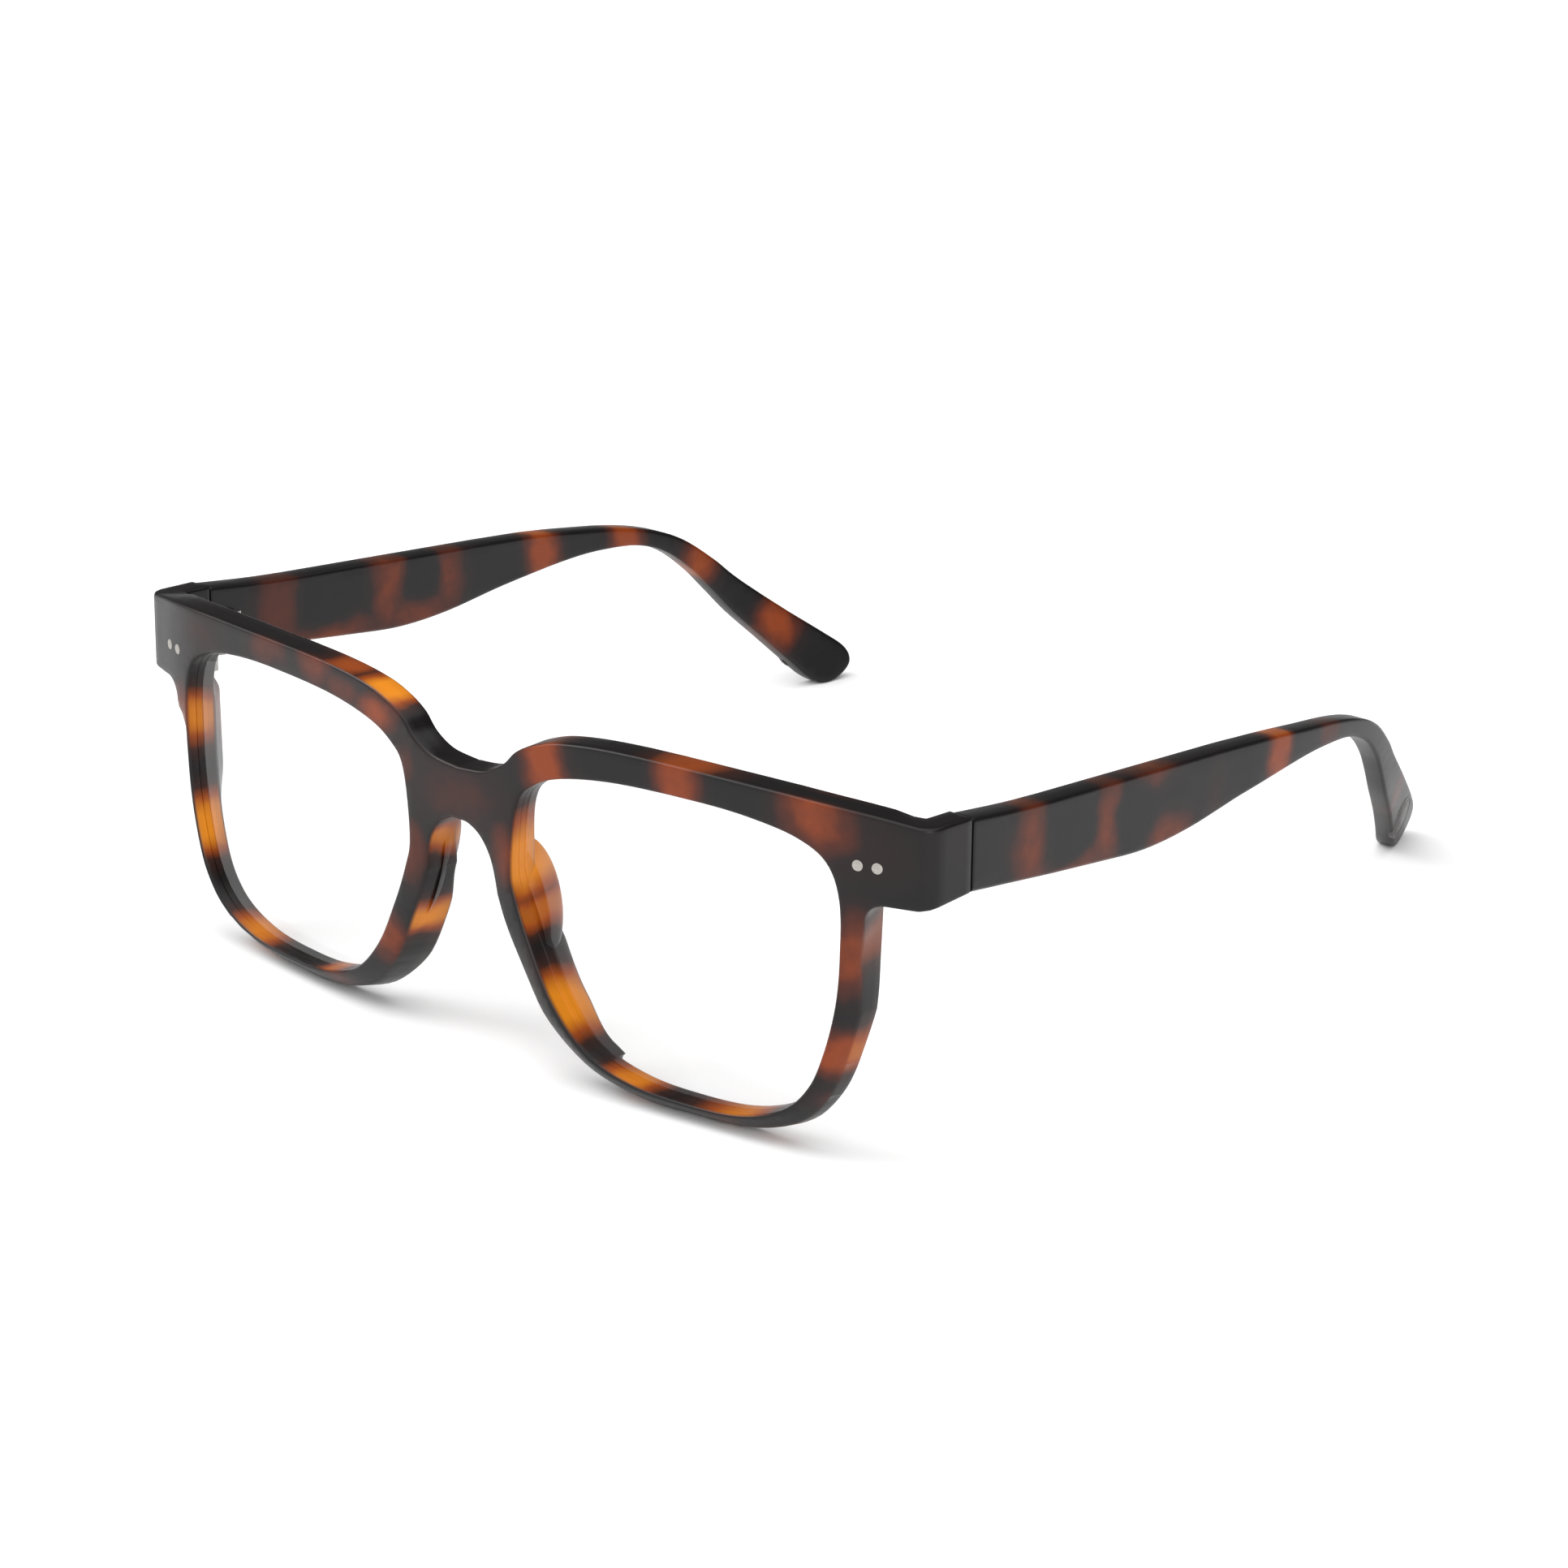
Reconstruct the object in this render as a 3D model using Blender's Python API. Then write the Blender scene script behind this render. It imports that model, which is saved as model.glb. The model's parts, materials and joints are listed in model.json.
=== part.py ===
"""Square acetate eyeglasses frame with two folding temples, as separate pieces.

Everything is modelled in the front's own frame: x to the wearer's left, y from the
front towards the ears, z up, with z = 0 at the middle of the lens height and y = 0 at
the front face of the bridge. The pieces are parented to the empty "stand", which tips
them back so that the frame rests on its rims and its temple tips at world z = 0.
"""

import math

import bmesh
import bpy
from mathutils import Matrix, Vector

MM = 0.001

# Driving dimensions
LENS_WIDTH = 51.0 * MM
LENS_HEIGHT = 41.3 * MM
BRIDGE_GAP = 19.0 * MM
FRONT_THICK = 4.4 * MM
RIM_TOP = 4.1 * MM
RIM_BOTTOM = 2.6 * MM
RIM_SIDE = 3.5 * MM
RIM_NOSE = 3.9 * MM
BRIDGE_TOP = 16.9 * MM
BRIDGE_UNDER = 9.5 * MM
END_PIECE = 9.6 * MM
END_TOP = 23.4 * MM
END_BOTTOM = 12.5 * MM
RETURN_TOP = 23.1 * MM
RETURN_BOTTOM = 13.2 * MM
RETURN_LENGTH = 5.9 * MM
RETURN_THICK = 3.9 * MM
TEMPLE_THICK = 3.8 * MM
TEMPLE_TIP_THICK = 3.2 * MM
TEMPLE_LENGTH = 122.0 * MM
FRONT_EDGE = 0.8 * MM
TEMPLE_EDGE = 0.8 * MM
GAP = 0.3 * MM
WELD = 0.001 * MM

# Front curve, seen from above
BRIDGE_ARC = 20.0 * MM
RIM_ANGLE = math.radians(7.0)
TURN_BEFORE_END = 4.5 * MM
TURN_LENGTH = 10.0 * MM
END_ANGLE = math.radians(20.0)
CORNER_RADIUS = 2.4 * MM

# Lenses
LENS_THICK = 1.8 * MM
LENS_BEVEL = 0.8 * MM
LENS_FLAT = 0.1 * MM
LENS_DEPTH = 2.3 * MM

# Nose pads
PAD_HALF = (2.1 * MM, 4.1 * MM, 8.6 * MM)
PAD_CENTRE = (9.1 * MM, 4.7 * MM, -0.6 * MM)
PAD_SLANT = math.radians(21.0)
PAD_FLARE = math.radians(24.0)

# Hinges
KNUCKLES = 5
KNUCKLE_HEIGHT = 0.8 * MM
KNUCKLE_GAP = 0.3 * MM
BARREL_RADIUS = 1.25 * MM
PIN_RADIUS = 0.6 * MM
PIN_CLEARANCE = 0.1 * MM
LEAF_THICK = 0.9 * MM
TEMPLE_LEAF = 4.4 * MM
ANCHOR_DEPTH = 0.6 * MM
ANCHOR_START = 1.5 * MM
ANCHOR_END = 0.3 * MM
HINGE_Z = 16.2 * MM
SCREW_HEAD_RADIUS = 1.05 * MM
SCREW_HEAD_HEIGHT = 0.6 * MM
SCREW_SLOT = 0.3 * MM

# Rivets
RIVET_HEAD_RADIUS = 0.72 * MM
RIVET_HEAD_DEPTH = 0.7 * MM
RIVET_SHANK_RADIUS = 0.45 * MM
RIVET_TAIL_RADIUS = 0.9 * MM
RIVET_TAIL_DEPTH = 0.35 * MM
RIVET_PITCH = 2.5 * MM
RIVET_Z = 17.45 * MM
RIVET_FROM_CORNER = 7.6 * MM

# Temple bow, seen from above
TEMPLE_TAPER = 0.0175
EAR_START = 57.0 * MM
EAR_SLANT = 0.8
EAR_DROP = 0.6
EAR_FROM = 46.0 * MM
EAR_BEND = 3.1

# Emblem discs let into the temple tips
DISC_RADIUS = 3.4 * MM
DISC_THICK = 0.6 * MM
DISC_SHARE = 0.9418
DISC_Z = -10.3 * MM

# Core wire
WIRE_RADIUS = 0.6 * MM
WIRE_LENGTH = 102.0 * MM
WIRE_OUTWARD = 0.4 * MM
WIRE_STEPS = 8

# Slices across each temple, so that it can follow its curve
TEMPLE_CUTS = 14

# Worked out from the dimensions above
LENS_X = BRIDGE_GAP / 2 + LENS_WIDTH / 2
RIM_END_X = BRIDGE_GAP / 2 + LENS_WIDTH
TURN_X = RIM_END_X - TURN_BEFORE_END
STRAIGHT_X = TURN_X + TURN_LENGTH
CORNER_X = RIM_END_X + END_PIECE + 0.3 * MM
SIDE_X = CORNER_X + CORNER_RADIUS * (1 - math.sin(END_ANGLE))
INNER_X = SIDE_X - RETURN_THICK
CORNER_TURN = math.pi / 2 - END_ANGLE
CORNER_LENGTH = CORNER_RADIUS * CORNER_TURN


def front_y(x):
    """Depth of the front face at x: an arc over the bridge, flat rims, turned ends."""
    slope = math.tan(RIM_ANGLE)
    if x < BRIDGE_ARC:
        return slope * x * x / (2 * BRIDGE_ARC)
    y = slope * (x - BRIDGE_ARC / 2)
    if x > TURN_X:
        part = min(x, STRAIGHT_X) - TURN_X
        y += (math.tan(END_ANGLE) - slope) * part * part / (2 * TURN_LENGTH)
    if x > STRAIGHT_X:
        y += (math.tan(END_ANGLE) - slope) * (x - STRAIGHT_X)
    return y


def front_angle(x):
    """Angle of the front face at x, from straight across."""
    slope = math.tan(RIM_ANGLE)
    if x < BRIDGE_ARC:
        return math.atan(slope * x / BRIDGE_ARC)
    part = min(max(x - TURN_X, 0), TURN_LENGTH) / TURN_LENGTH
    return math.atan(slope + (math.tan(END_ANGLE) - slope) * part)


CORNER_Y = front_y(CORNER_X)
RETURN_START_Y = CORNER_Y + CORNER_RADIUS * math.cos(END_ANGLE)
BUTT_Y = RETURN_START_Y + RETURN_LENGTH
TEMPLE_Y = BUTT_Y + GAP
LEAF_X = min(INNER_X, SIDE_X - TEMPLE_THICK - TEMPLE_TAPER * TEMPLE_LEAF) - GAP
HINGE_X = LEAF_X - BARREL_RADIUS
HINGE_Y = BUTT_Y + GAP / 2
HINGE_HEIGHT = KNUCKLES * KNUCKLE_HEIGHT + (KNUCKLES - 1) * KNUCKLE_GAP
TONGUE_END = CORNER_X + CORNER_LENGTH + RETURN_LENGTH


def inward(x, depth):
    """The point that lies depth behind the front face at x, seen from above."""
    angle = front_angle(x)
    return Vector((x - depth * math.sin(angle), front_y(x) + depth * math.cos(angle)))


INNER_CORNER = Vector((
    INNER_X,
    inward(STRAIGHT_X, FRONT_THICK).y
    + (INNER_X - inward(STRAIGHT_X, FRONT_THICK).x) * math.tan(END_ANGLE),
))


def stations():
    """(developed x, outer point, inner point) along one half of the front, from above."""
    rows = []
    blend_x = CORNER_X - FRONT_THICK
    fronts = [BRIDGE_ARC * i / 4 for i in range(5)] + [LENS_X, TURN_X]
    fronts += [TURN_X + (blend_x - TURN_X) * i / 3 for i in range(1, 4)]
    for x in fronts:
        rows.append((x, Vector((x, front_y(x))), inward(x, FRONT_THICK)))
    start = inward(blend_x, FRONT_THICK)
    centre = Vector((CORNER_X - CORNER_RADIUS * math.sin(END_ANGLE), RETURN_START_Y))
    turns = 4
    for i in range(turns + 1):
        angle = END_ANGLE + CORNER_TURN * i / turns
        outer = centre + CORNER_RADIUS * Vector((math.sin(angle), -math.cos(angle)))
        along = CORNER_X + CORNER_LENGTH * i / turns
        share = (along - blend_x) / (CORNER_X + CORNER_LENGTH - blend_x)
        rows.append((along, outer, start.lerp(INNER_CORNER, share)))
    spare = 2 * MM
    rows.append((
        TONGUE_END + spare,
        Vector((SIDE_X, BUTT_Y + spare)),
        Vector((INNER_X, BUTT_Y + spare)),
    ))
    return rows


STATIONS = stations()


def bent(x, depth):
    """Place in plan of a point at developed x and depth behind the front face."""
    flat = abs(x)
    for low, high in zip(STATIONS, STATIONS[1:]):
        if flat <= high[0]:
            break
    share = (flat - low[0]) / (high[0] - low[0])
    outer = low[1].lerp(high[1], share)
    inner = low[2].lerp(high[2], share)
    place = outer.lerp(inner, depth / FRONT_THICK)
    return math.copysign(place.x, x), place.y


# Scene and materials


def clear_scene():
    for obj in list(bpy.data.objects):
        bpy.data.objects.remove(obj)
    for name in ("eyeglasses", "cutters"):
        bpy.context.scene.collection.children.link(bpy.data.collections.new(name))
    bpy.data.collections["cutters"].hide_render = True


def material(name, colour, roughness, metallic=0.0, transmission=0.0):
    made = bpy.data.materials.new(name)
    made.use_nodes = True
    shader = made.node_tree.nodes["Principled BSDF"]
    shader.inputs["Base Color"].default_value = (*colour, 1)
    shader.inputs["Roughness"].default_value = roughness
    shader.inputs["Metallic"].default_value = metallic
    shader.inputs["Transmission Weight"].default_value = transmission
    return made


def part(name, mesh, look, parent):
    """Adds the mesh, which is in the front's frame, as a named piece of the parent."""
    obj = bpy.data.objects.new(name, mesh)
    mesh.name = name
    mesh.materials.clear()
    mesh.materials.append(look)
    mesh.shade_smooth()
    mesh.set_sharp_from_angle(angle=math.radians(35))
    bpy.data.collections["eyeglasses"].objects.link(obj)
    obj.parent = parent
    mesh.transform(Matrix.Translation(-parent.matrix_world.translation))
    return obj


def helper(mesh):
    """A hidden object that cuts or joins, in the front's frame."""
    obj = bpy.data.objects.new("cutter", mesh)
    obj.hide_render = True
    obj.display_type = "WIRE"
    bpy.data.collections["cutters"].objects.link(obj)
    return obj


def combined(mesh, others, operation):
    """The mesh after exact Booleans with the other meshes."""
    base = helper(mesh)
    for other in others:
        step = base.modifiers.new(operation.lower(), "BOOLEAN")
        step.operation = operation
        step.object = helper(other)
    graph = bpy.context.evaluated_depsgraph_get()
    made = bpy.data.meshes.new_from_object(base.evaluated_get(graph))
    for step in base.modifiers:
        bpy.data.objects.remove(step.object)
    bpy.data.objects.remove(base)
    return made


def reshaped(mesh, place):
    """Moves each vertex to place(co)."""
    for vertex in mesh.vertices:
        vertex.co = place(vertex.co)
    mesh.update()
    return mesh


def mirrored(mesh):
    copy = mesh.copy()
    copy.transform(Matrix.Scale(-1, 4, (1, 0, 0)))
    copy.flip_normals()
    return copy


def edited(mesh, edit):
    """Runs edit(bm) on the mesh and writes the result back."""
    bm = bmesh.new()
    bm.from_mesh(mesh)
    edit(bm)
    bm.to_mesh(mesh)
    bm.free()
    return mesh


# Outlines


def smooth_loop(points, steps, closed=True):
    """A Catmull-Rom curve through the points."""
    count = len(points)
    made = []
    for i in range(count if closed else count - 1):
        picks = [i - 1, i, i + 1, i + 2]
        if closed:
            picks = [k % count for k in picks]
        else:
            picks = [min(max(k, 0), count - 1) for k in picks]
        a, b, c, d = (Vector(points[k]) for k in picks)
        for step in range(steps):
            t = step / steps
            made.append(
                0.5 * (2 * b + (c - a) * t + (2 * a - 5 * b + 4 * c - d) * t**2
                       + (3 * b - a - 3 * c + d) * t**3)
            )
    if not closed:
        made.append(Vector(points[-1]))
    return made


# The lens opening as shares of half the lens width and height, from the nose over the top
LENS_SHAPE = (
    (-1.0, 0.24), (-0.957, 0.678), (-0.855, 0.833), (-0.667, 0.93), (-0.314, 0.99),
    (0.196, 1.0), (0.51, 0.978), (0.757, 0.925), (0.918, 0.818), (0.992, 0.596),
    (1.0, 0.24), (0.98, -0.087), (0.918, -0.416), (0.831, -0.668), (0.675, -0.862),
    (0.412, -0.975), (0.078, -1.0), (-0.235, -0.973), (-0.51, -0.857), (-0.722, -0.596),
    (-0.871, -0.247), (-0.961, 0.024),
)
OPENING_STEPS = 2


def opening(grow=0.0):
    """The lens opening of the +x rim, grown outwards by a distance."""
    points = [
        (LENS_X + u * LENS_WIDTH / 2, v * LENS_HEIGHT / 2) for u, v in LENS_SHAPE
    ]
    return offset(smooth_loop(points, OPENING_STEPS), lambda _: grow)


def offset(loop, width):
    """A clockwise loop moved outwards along its normals by width(index)."""
    made = []
    for i, point in enumerate(loop):
        along = (loop[(i + 1) % len(loop)] - loop[i - 1]).normalized()
        made.append(point + width(i) * Vector((-along.y, along.x)))
    return made


def rim_outside():
    """The rim's outer edge from the end piece round the bottom to the nose."""
    loop = opening()
    first = 11 * OPENING_STEPS
    bottom = 16 * OPENING_STEPS
    nose = 19 * OPENING_STEPS
    last = 21 * OPENING_STEPS + 1

    def width(i):
        if i < bottom:
            share = min(max((i - first) / (bottom - first), 0), 1)
            return RIM_SIDE + (RIM_BOTTOM - RIM_SIDE) * share
        share = min((i - bottom) / (nose - bottom), 1)
        return RIM_BOTTOM + (RIM_NOSE - RIM_BOTTOM) * share

    return offset(loop, width)[first:last]


def front_outline():
    """Half of the front's outline, flattened, from the bridge's top to its underside."""
    top = LENS_HEIGHT / 2 + RIM_TOP
    nose_x = BRIDGE_GAP / 2
    rise = top - BRIDGE_TOP
    bridge = [
        (0.0, BRIDGE_TOP),
        (nose_x * 0.5, BRIDGE_TOP + rise * 0.07),
        (nose_x * 0.85, BRIDGE_TOP + rise * 0.27),
        (nose_x * 1.1, BRIDGE_TOP + rise * 0.56),
        (nose_x * 1.45, BRIDGE_TOP + rise * 0.77),
        (nose_x * 1.95, BRIDGE_TOP + rise * 0.92),
        (nose_x * 2.9, top),
        (LENS_X + LENS_WIDTH * 0.16, top),
        (RIM_END_X, top - 0.3 * MM),
        (CORNER_X, END_TOP),
    ]
    outline = smooth_loop(bridge, 3, closed=False)
    outline.append(Vector((CORNER_X + CORNER_LENGTH, (END_TOP * 2 + RETURN_TOP) / 3)))
    end = TONGUE_END + 1 * MM
    outline.append(Vector((end, RETURN_TOP)))
    outline.append(Vector((end, RETURN_BOTTOM)))
    outline.append(Vector((CORNER_X + CORNER_LENGTH, END_BOTTOM + 0.4 * MM)))
    rim = rim_outside()
    fillet = 2.6 * MM
    centre = Vector((rim[0].x + fillet * 1.1, END_BOTTOM - fillet))
    outline.append(Vector((CORNER_X, END_BOTTOM)))
    for i in range(5):
        angle = math.pi / 2 + math.pi / 2 * i / 4
        outline.append(centre + fillet * Vector((math.cos(angle), math.sin(angle))))
    outline += rim[1:]
    under = [
        rim[-1],
        (nose_x * 0.57, BRIDGE_UNDER * 0.56),
        (nose_x * 0.4, BRIDGE_UNDER * 0.85),
        (nose_x * 0.18, BRIDGE_UNDER * 0.985),
        (0.0, BRIDGE_UNDER),
    ]
    return outline + smooth_loop(under, 3, closed=False)[1:]


def weld(bm):
    """Joins vertices that meet and turns the faces outwards."""
    bmesh.ops.remove_doubles(bm, verts=bm.verts, dist=WELD)
    bmesh.ops.recalc_face_normals(bm, faces=bm.faces)


def curve_mesh(curve):
    """The curve's surface as one closed mesh."""
    obj = helper(curve)
    graph = bpy.context.evaluated_depsgraph_get()
    mesh = bpy.data.meshes.new_from_object(obj.evaluated_get(graph))
    bpy.data.objects.remove(obj)
    return edited(mesh, weld)


def plate(loops, thick, edge, rounds=1):
    """A flat plate in x and y from closed outlines, with rounded edges, as a mesh."""
    curve = bpy.data.curves.new("outline", "CURVE")
    curve.dimensions = "2D"
    curve.fill_mode = "BOTH"
    curve.extrude = thick / 2 - edge
    curve.bevel_depth = edge
    curve.bevel_resolution = rounds
    curve.offset = -edge
    for loop in loops:
        spline = curve.splines.new("POLY")
        spline.points.add(len(loop) - 1)
        for point, co in zip(spline.points, loop):
            point.co = (co[0], co[1], 0, 1)
        spline.use_cyclic_u = True
    return curve_mesh(curve)


def box(size, place):
    """A box of this size whose centre and turn are given by the matrix."""
    mesh = bpy.data.meshes.new("box")
    bm = bmesh.new()
    bmesh.ops.create_cube(bm, size=1, matrix=place @ Matrix.Diagonal((*size, 1)))
    bm.to_mesh(mesh)
    bm.free()
    return mesh


def rod(radius, length, place, segments=24):
    """A cylinder along the matrix's z, centred on it."""
    mesh = bpy.data.meshes.new("rod")
    bm = bmesh.new()
    bmesh.ops.create_cone(
        bm, cap_ends=True, segments=segments, radius1=radius, radius2=radius,
        depth=length, matrix=place,
    )
    bm.to_mesh(mesh)
    bm.free()
    return mesh


def sliced(mesh, cuts, keep=False):
    """Cuts the mesh by (point, normal) planes; with keep, drops what lies past them."""
    def edit(bm):
        for point, normal in cuts:
            geometry = bm.verts[:] + bm.edges[:] + bm.faces[:]
            found = bmesh.ops.bisect_plane(
                bm, geom=geometry, dist=WELD / 10, plane_co=point, plane_no=normal,
                clear_outer=keep,
            )
            if keep:
                rim = [g for g in found["geom_cut"] if isinstance(g, bmesh.types.BMEdge)]
                bmesh.ops.triangle_fill(bm, use_beauty=True, edges=rim)
                bmesh.ops.recalc_face_normals(bm, faces=bm.faces)

    return edited(mesh, edit)


# Front and lenses


def lens_plate(grow=0.0):
    """A lens lying flat, with its bevelled edge, grown on every side by a distance."""
    loop = opening(LENS_BEVEL + LENS_FLAT + grow)
    mesh = plate([loop], LENS_THICK + 2 * grow, LENS_BEVEL, 0)
    mesh.transform(Matrix.Translation((0, 0, FRONT_THICK / 2 - LENS_DEPTH)))
    return mesh


def wrapped(mesh):
    """Stands a flat plate up and bends it to the front's curve."""
    cuts = []
    for row in STATIONS[:-1]:
        for side in (1, -1):
            cuts.append(((side * row[0], 0, 0), (1, 0, 0)))
    sliced(mesh, cuts)

    def place(co):
        x, y = bent(co.x, FRONT_THICK / 2 - co.z)
        return x, y, co.y

    return reshaped(mesh, place)


def make_front():
    half = front_outline()
    other = [Vector((-p.x, p.y)) for p in reversed(half[1:-1])]
    holes = [opening(), [Vector((-p.x, p.y)) for p in opening()]]
    mesh = plate([half + other] + holes, FRONT_THICK, FRONT_EDGE)
    groove = lens_plate(GAP)
    mesh = combined(mesh, [groove, mirrored(groove)], "DIFFERENCE")
    mesh = wrapped(mesh)
    sliced(mesh, [((0, BUTT_Y, 0), (0, 1, 0))], keep=True)
    holes = []
    for place in rivet_places():
        cutter = rod(RIVET_SHANK_RADIUS + GAP, 4 * FRONT_THICK, place, 12)
        sunk = place @ Matrix.Translation((0, 0, -FRONT_THICK / 2))
        head = rod(RIVET_HEAD_RADIUS + GAP, 2 * RIVET_HEAD_DEPTH + FRONT_THICK, sunk, 16)
        holes += [cutter, head, mirrored(cutter), mirrored(head)]
    return combined(mesh, holes, "DIFFERENCE")


# Rivets


def rivet_places():
    """Matrices at the rivet heads of the +x end piece, with z along the rivet, inwards."""
    made = []
    for i in range(2):
        x = CORNER_X - RIVET_FROM_CORNER + i * RIVET_PITCH
        turn = Matrix.Rotation(front_angle(x), 4, "Z")
        turn = turn @ Matrix.Rotation(-math.pi / 2, 4, "X")
        made.append(Matrix.Translation((x, front_y(x), RIVET_Z)) @ turn)
    return made


def make_rivet(place):
    """A rivet turned from one profile: a flat head, a shank and a spread tail."""
    grip = FRONT_THICK + GAP + LEAF_THICK
    tail = grip + GAP
    profile = [
        (0, 0), (RIVET_HEAD_RADIUS, 0), (RIVET_HEAD_RADIUS, RIVET_HEAD_DEPTH),
        (RIVET_SHANK_RADIUS, RIVET_HEAD_DEPTH), (RIVET_SHANK_RADIUS, tail),
        (RIVET_TAIL_RADIUS, tail), (RIVET_TAIL_RADIUS * 0.7, tail + RIVET_TAIL_DEPTH),
        (0, tail + RIVET_TAIL_DEPTH),
    ]
    return turned(profile, place)


def turned(profile, place, steps=16):
    """A solid of revolution about the matrix's z from (radius, height) points."""
    mesh = bpy.data.meshes.new("turned")
    bm = bmesh.new()
    verts = [bm.verts.new((r, 0, z)) for r, z in profile]
    edges = [bm.edges.new(pair) for pair in zip(verts, verts[1:])]
    bmesh.ops.spin(
        bm, geom=verts + edges, cent=(0, 0, 0), axis=(0, 0, 1), angle=2 * math.pi,
        steps=steps, use_merge=True,
    )
    weld(bm)
    bmesh.ops.transform(bm, matrix=place, verts=bm.verts)
    bm.to_mesh(mesh)
    bm.free()
    return mesh


# Hinges


def knuckle_z(i):
    pitch = KNUCKLE_HEIGHT + KNUCKLE_GAP
    return HINGE_Z + (i - (KNUCKLES - 1) / 2) * pitch


def knuckles(which, toward):
    """Barrel rings of one leaf, each with a finger that reaches toward +y or -y."""
    made = []
    finger_x = LEAF_X - LEAF_THICK / 2
    reach = BARREL_RADIUS + 2 * GAP
    for i in which:
        centre = Matrix.Translation((HINGE_X, HINGE_Y, knuckle_z(i)))
        made.append(rod(BARREL_RADIUS, KNUCKLE_HEIGHT, centre, 20))
        middle = Matrix.Translation((finger_x, HINGE_Y + toward * reach / 2, knuckle_z(i)))
        made.append(box((LEAF_THICK * 0.9, reach, KNUCKLE_HEIGHT * 0.95), middle))
    return made


def bored(mesh):
    centre = Matrix.Translation((HINGE_X, HINGE_Y, HINGE_Z))
    hole = rod(PIN_RADIUS + PIN_CLEARANCE, 2 * HINGE_HEIGHT, centre, 16)
    return combined(mesh, [hole], "DIFFERENCE")


def behind_front(x, behind):
    """A point behind the back face of the straight part of the end piece."""
    start = inward(STRAIGHT_X, FRONT_THICK)
    return Vector((x, start.y + (x - start.x) * math.tan(END_ANGLE)
                   + behind / math.cos(END_ANGLE)))


def make_front_leaf():
    """The leaf that the rivets hold: a bent plate behind the end piece, three knuckles."""
    first = CORNER_X - RIVET_FROM_CORNER - RIVET_TAIL_RADIUS - 0.4 * MM
    xs = [first + (STRAIGHT_X - first) * i / 4 for i in range(5)]
    near = HINGE_Y - BARREL_RADIUS - GAP
    outer = [inward(x, FRONT_THICK + GAP) for x in xs]
    outer += [behind_front(LEAF_X, GAP), Vector((LEAF_X, near))]
    thin = LEAF_X - LEAF_THICK
    inner = [inward(x, FRONT_THICK + GAP + LEAF_THICK) for x in xs]
    inner += [behind_front(thin, GAP + LEAF_THICK), Vector((thin, near))]
    leaf = plate([outer + inner[::-1]], HINGE_HEIGHT * 0.97, 0.08 * MM, 0)
    leaf.transform(Matrix.Translation((0, 0, HINGE_Z)))
    mesh = combined(leaf, knuckles(range(0, KNUCKLES, 2), -1), "UNION")
    holes = [rod(RIVET_SHANK_RADIUS + GAP, 30 * MM, p, 12) for p in rivet_places()]
    return combined(bored(mesh), holes, "DIFFERENCE")


def anchor(grow=0.0):
    """The block of the temple leaf that is sunk into the temple's inner side."""
    length = TEMPLE_LEAF - ANCHOR_START - ANCHOR_END
    inside = SIDE_X - TEMPLE_THICK + ANCHOR_DEPTH
    start = LEAF_X - LEAF_THICK / 2
    place = Matrix.Translation((
        (start + inside + grow) / 2, TEMPLE_Y + ANCHOR_START + length / 2, HINGE_Z
    ))
    size = (inside + grow - start, length + 2 * grow, HINGE_HEIGHT * 0.6 + 2 * grow)
    return box(size, place)


def make_temple_leaf():
    """The leaf that is sunk into the temple, with two knuckles."""
    near = HINGE_Y + BARREL_RADIUS + GAP
    far = TEMPLE_Y + TEMPLE_LEAF
    place = Matrix.Translation((LEAF_X - LEAF_THICK / 2, (near + far) / 2, HINGE_Z))
    arm = box((LEAF_THICK, far - near, HINGE_HEIGHT * 0.97), place)
    pieces = [anchor()] + knuckles(range(1, KNUCKLES, 2), 1)
    return bored(combined(arm, pieces, "UNION"))


def make_screw():
    """The hinge screw: a slotted head on the top knuckle and a pin through all five."""
    top = HINGE_Z + HINGE_HEIGHT / 2 + 0.1 * MM
    bottom = HINGE_Z - HINGE_HEIGHT / 2 - 0.2 * MM
    profile = [
        (0, bottom), (PIN_RADIUS * 0.8, bottom), (PIN_RADIUS, bottom + 0.15 * MM),
        (PIN_RADIUS, top), (SCREW_HEAD_RADIUS, top),
        (SCREW_HEAD_RADIUS, top + SCREW_HEAD_HEIGHT * 0.6),
        (SCREW_HEAD_RADIUS * 0.7, top + SCREW_HEAD_HEIGHT),
        (0, top + SCREW_HEAD_HEIGHT),
    ]
    mesh = turned(profile, Matrix.Translation((HINGE_X, HINGE_Y, 0)), 16)
    place = Matrix.Translation((HINGE_X, HINGE_Y, top + SCREW_HEAD_HEIGHT))
    slot = box((4 * SCREW_HEAD_RADIUS, SCREW_SLOT, SCREW_HEAD_HEIGHT), place)
    return combined(mesh, [slot], "DIFFERENCE")


# Temples


def temple_x(y, z):
    """Middle of the temple's thickness: straight, then curving in towards the tip."""
    straight = min(y - TEMPLE_Y, EAR_START)
    bend = max(EAR_SLANT * (y - TEMPLE_Y) - EAR_DROP * (z - HINGE_Z) - EAR_FROM, 0)
    return SIDE_X - TEMPLE_THICK / 2 - TEMPLE_TAPER * straight - EAR_BEND * bend * bend


def temple_share(share):
    """How much of the full thickness is left at a share of the temple's length."""
    return 1 - (1 - TEMPLE_TIP_THICK / TEMPLE_THICK) * share


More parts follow.
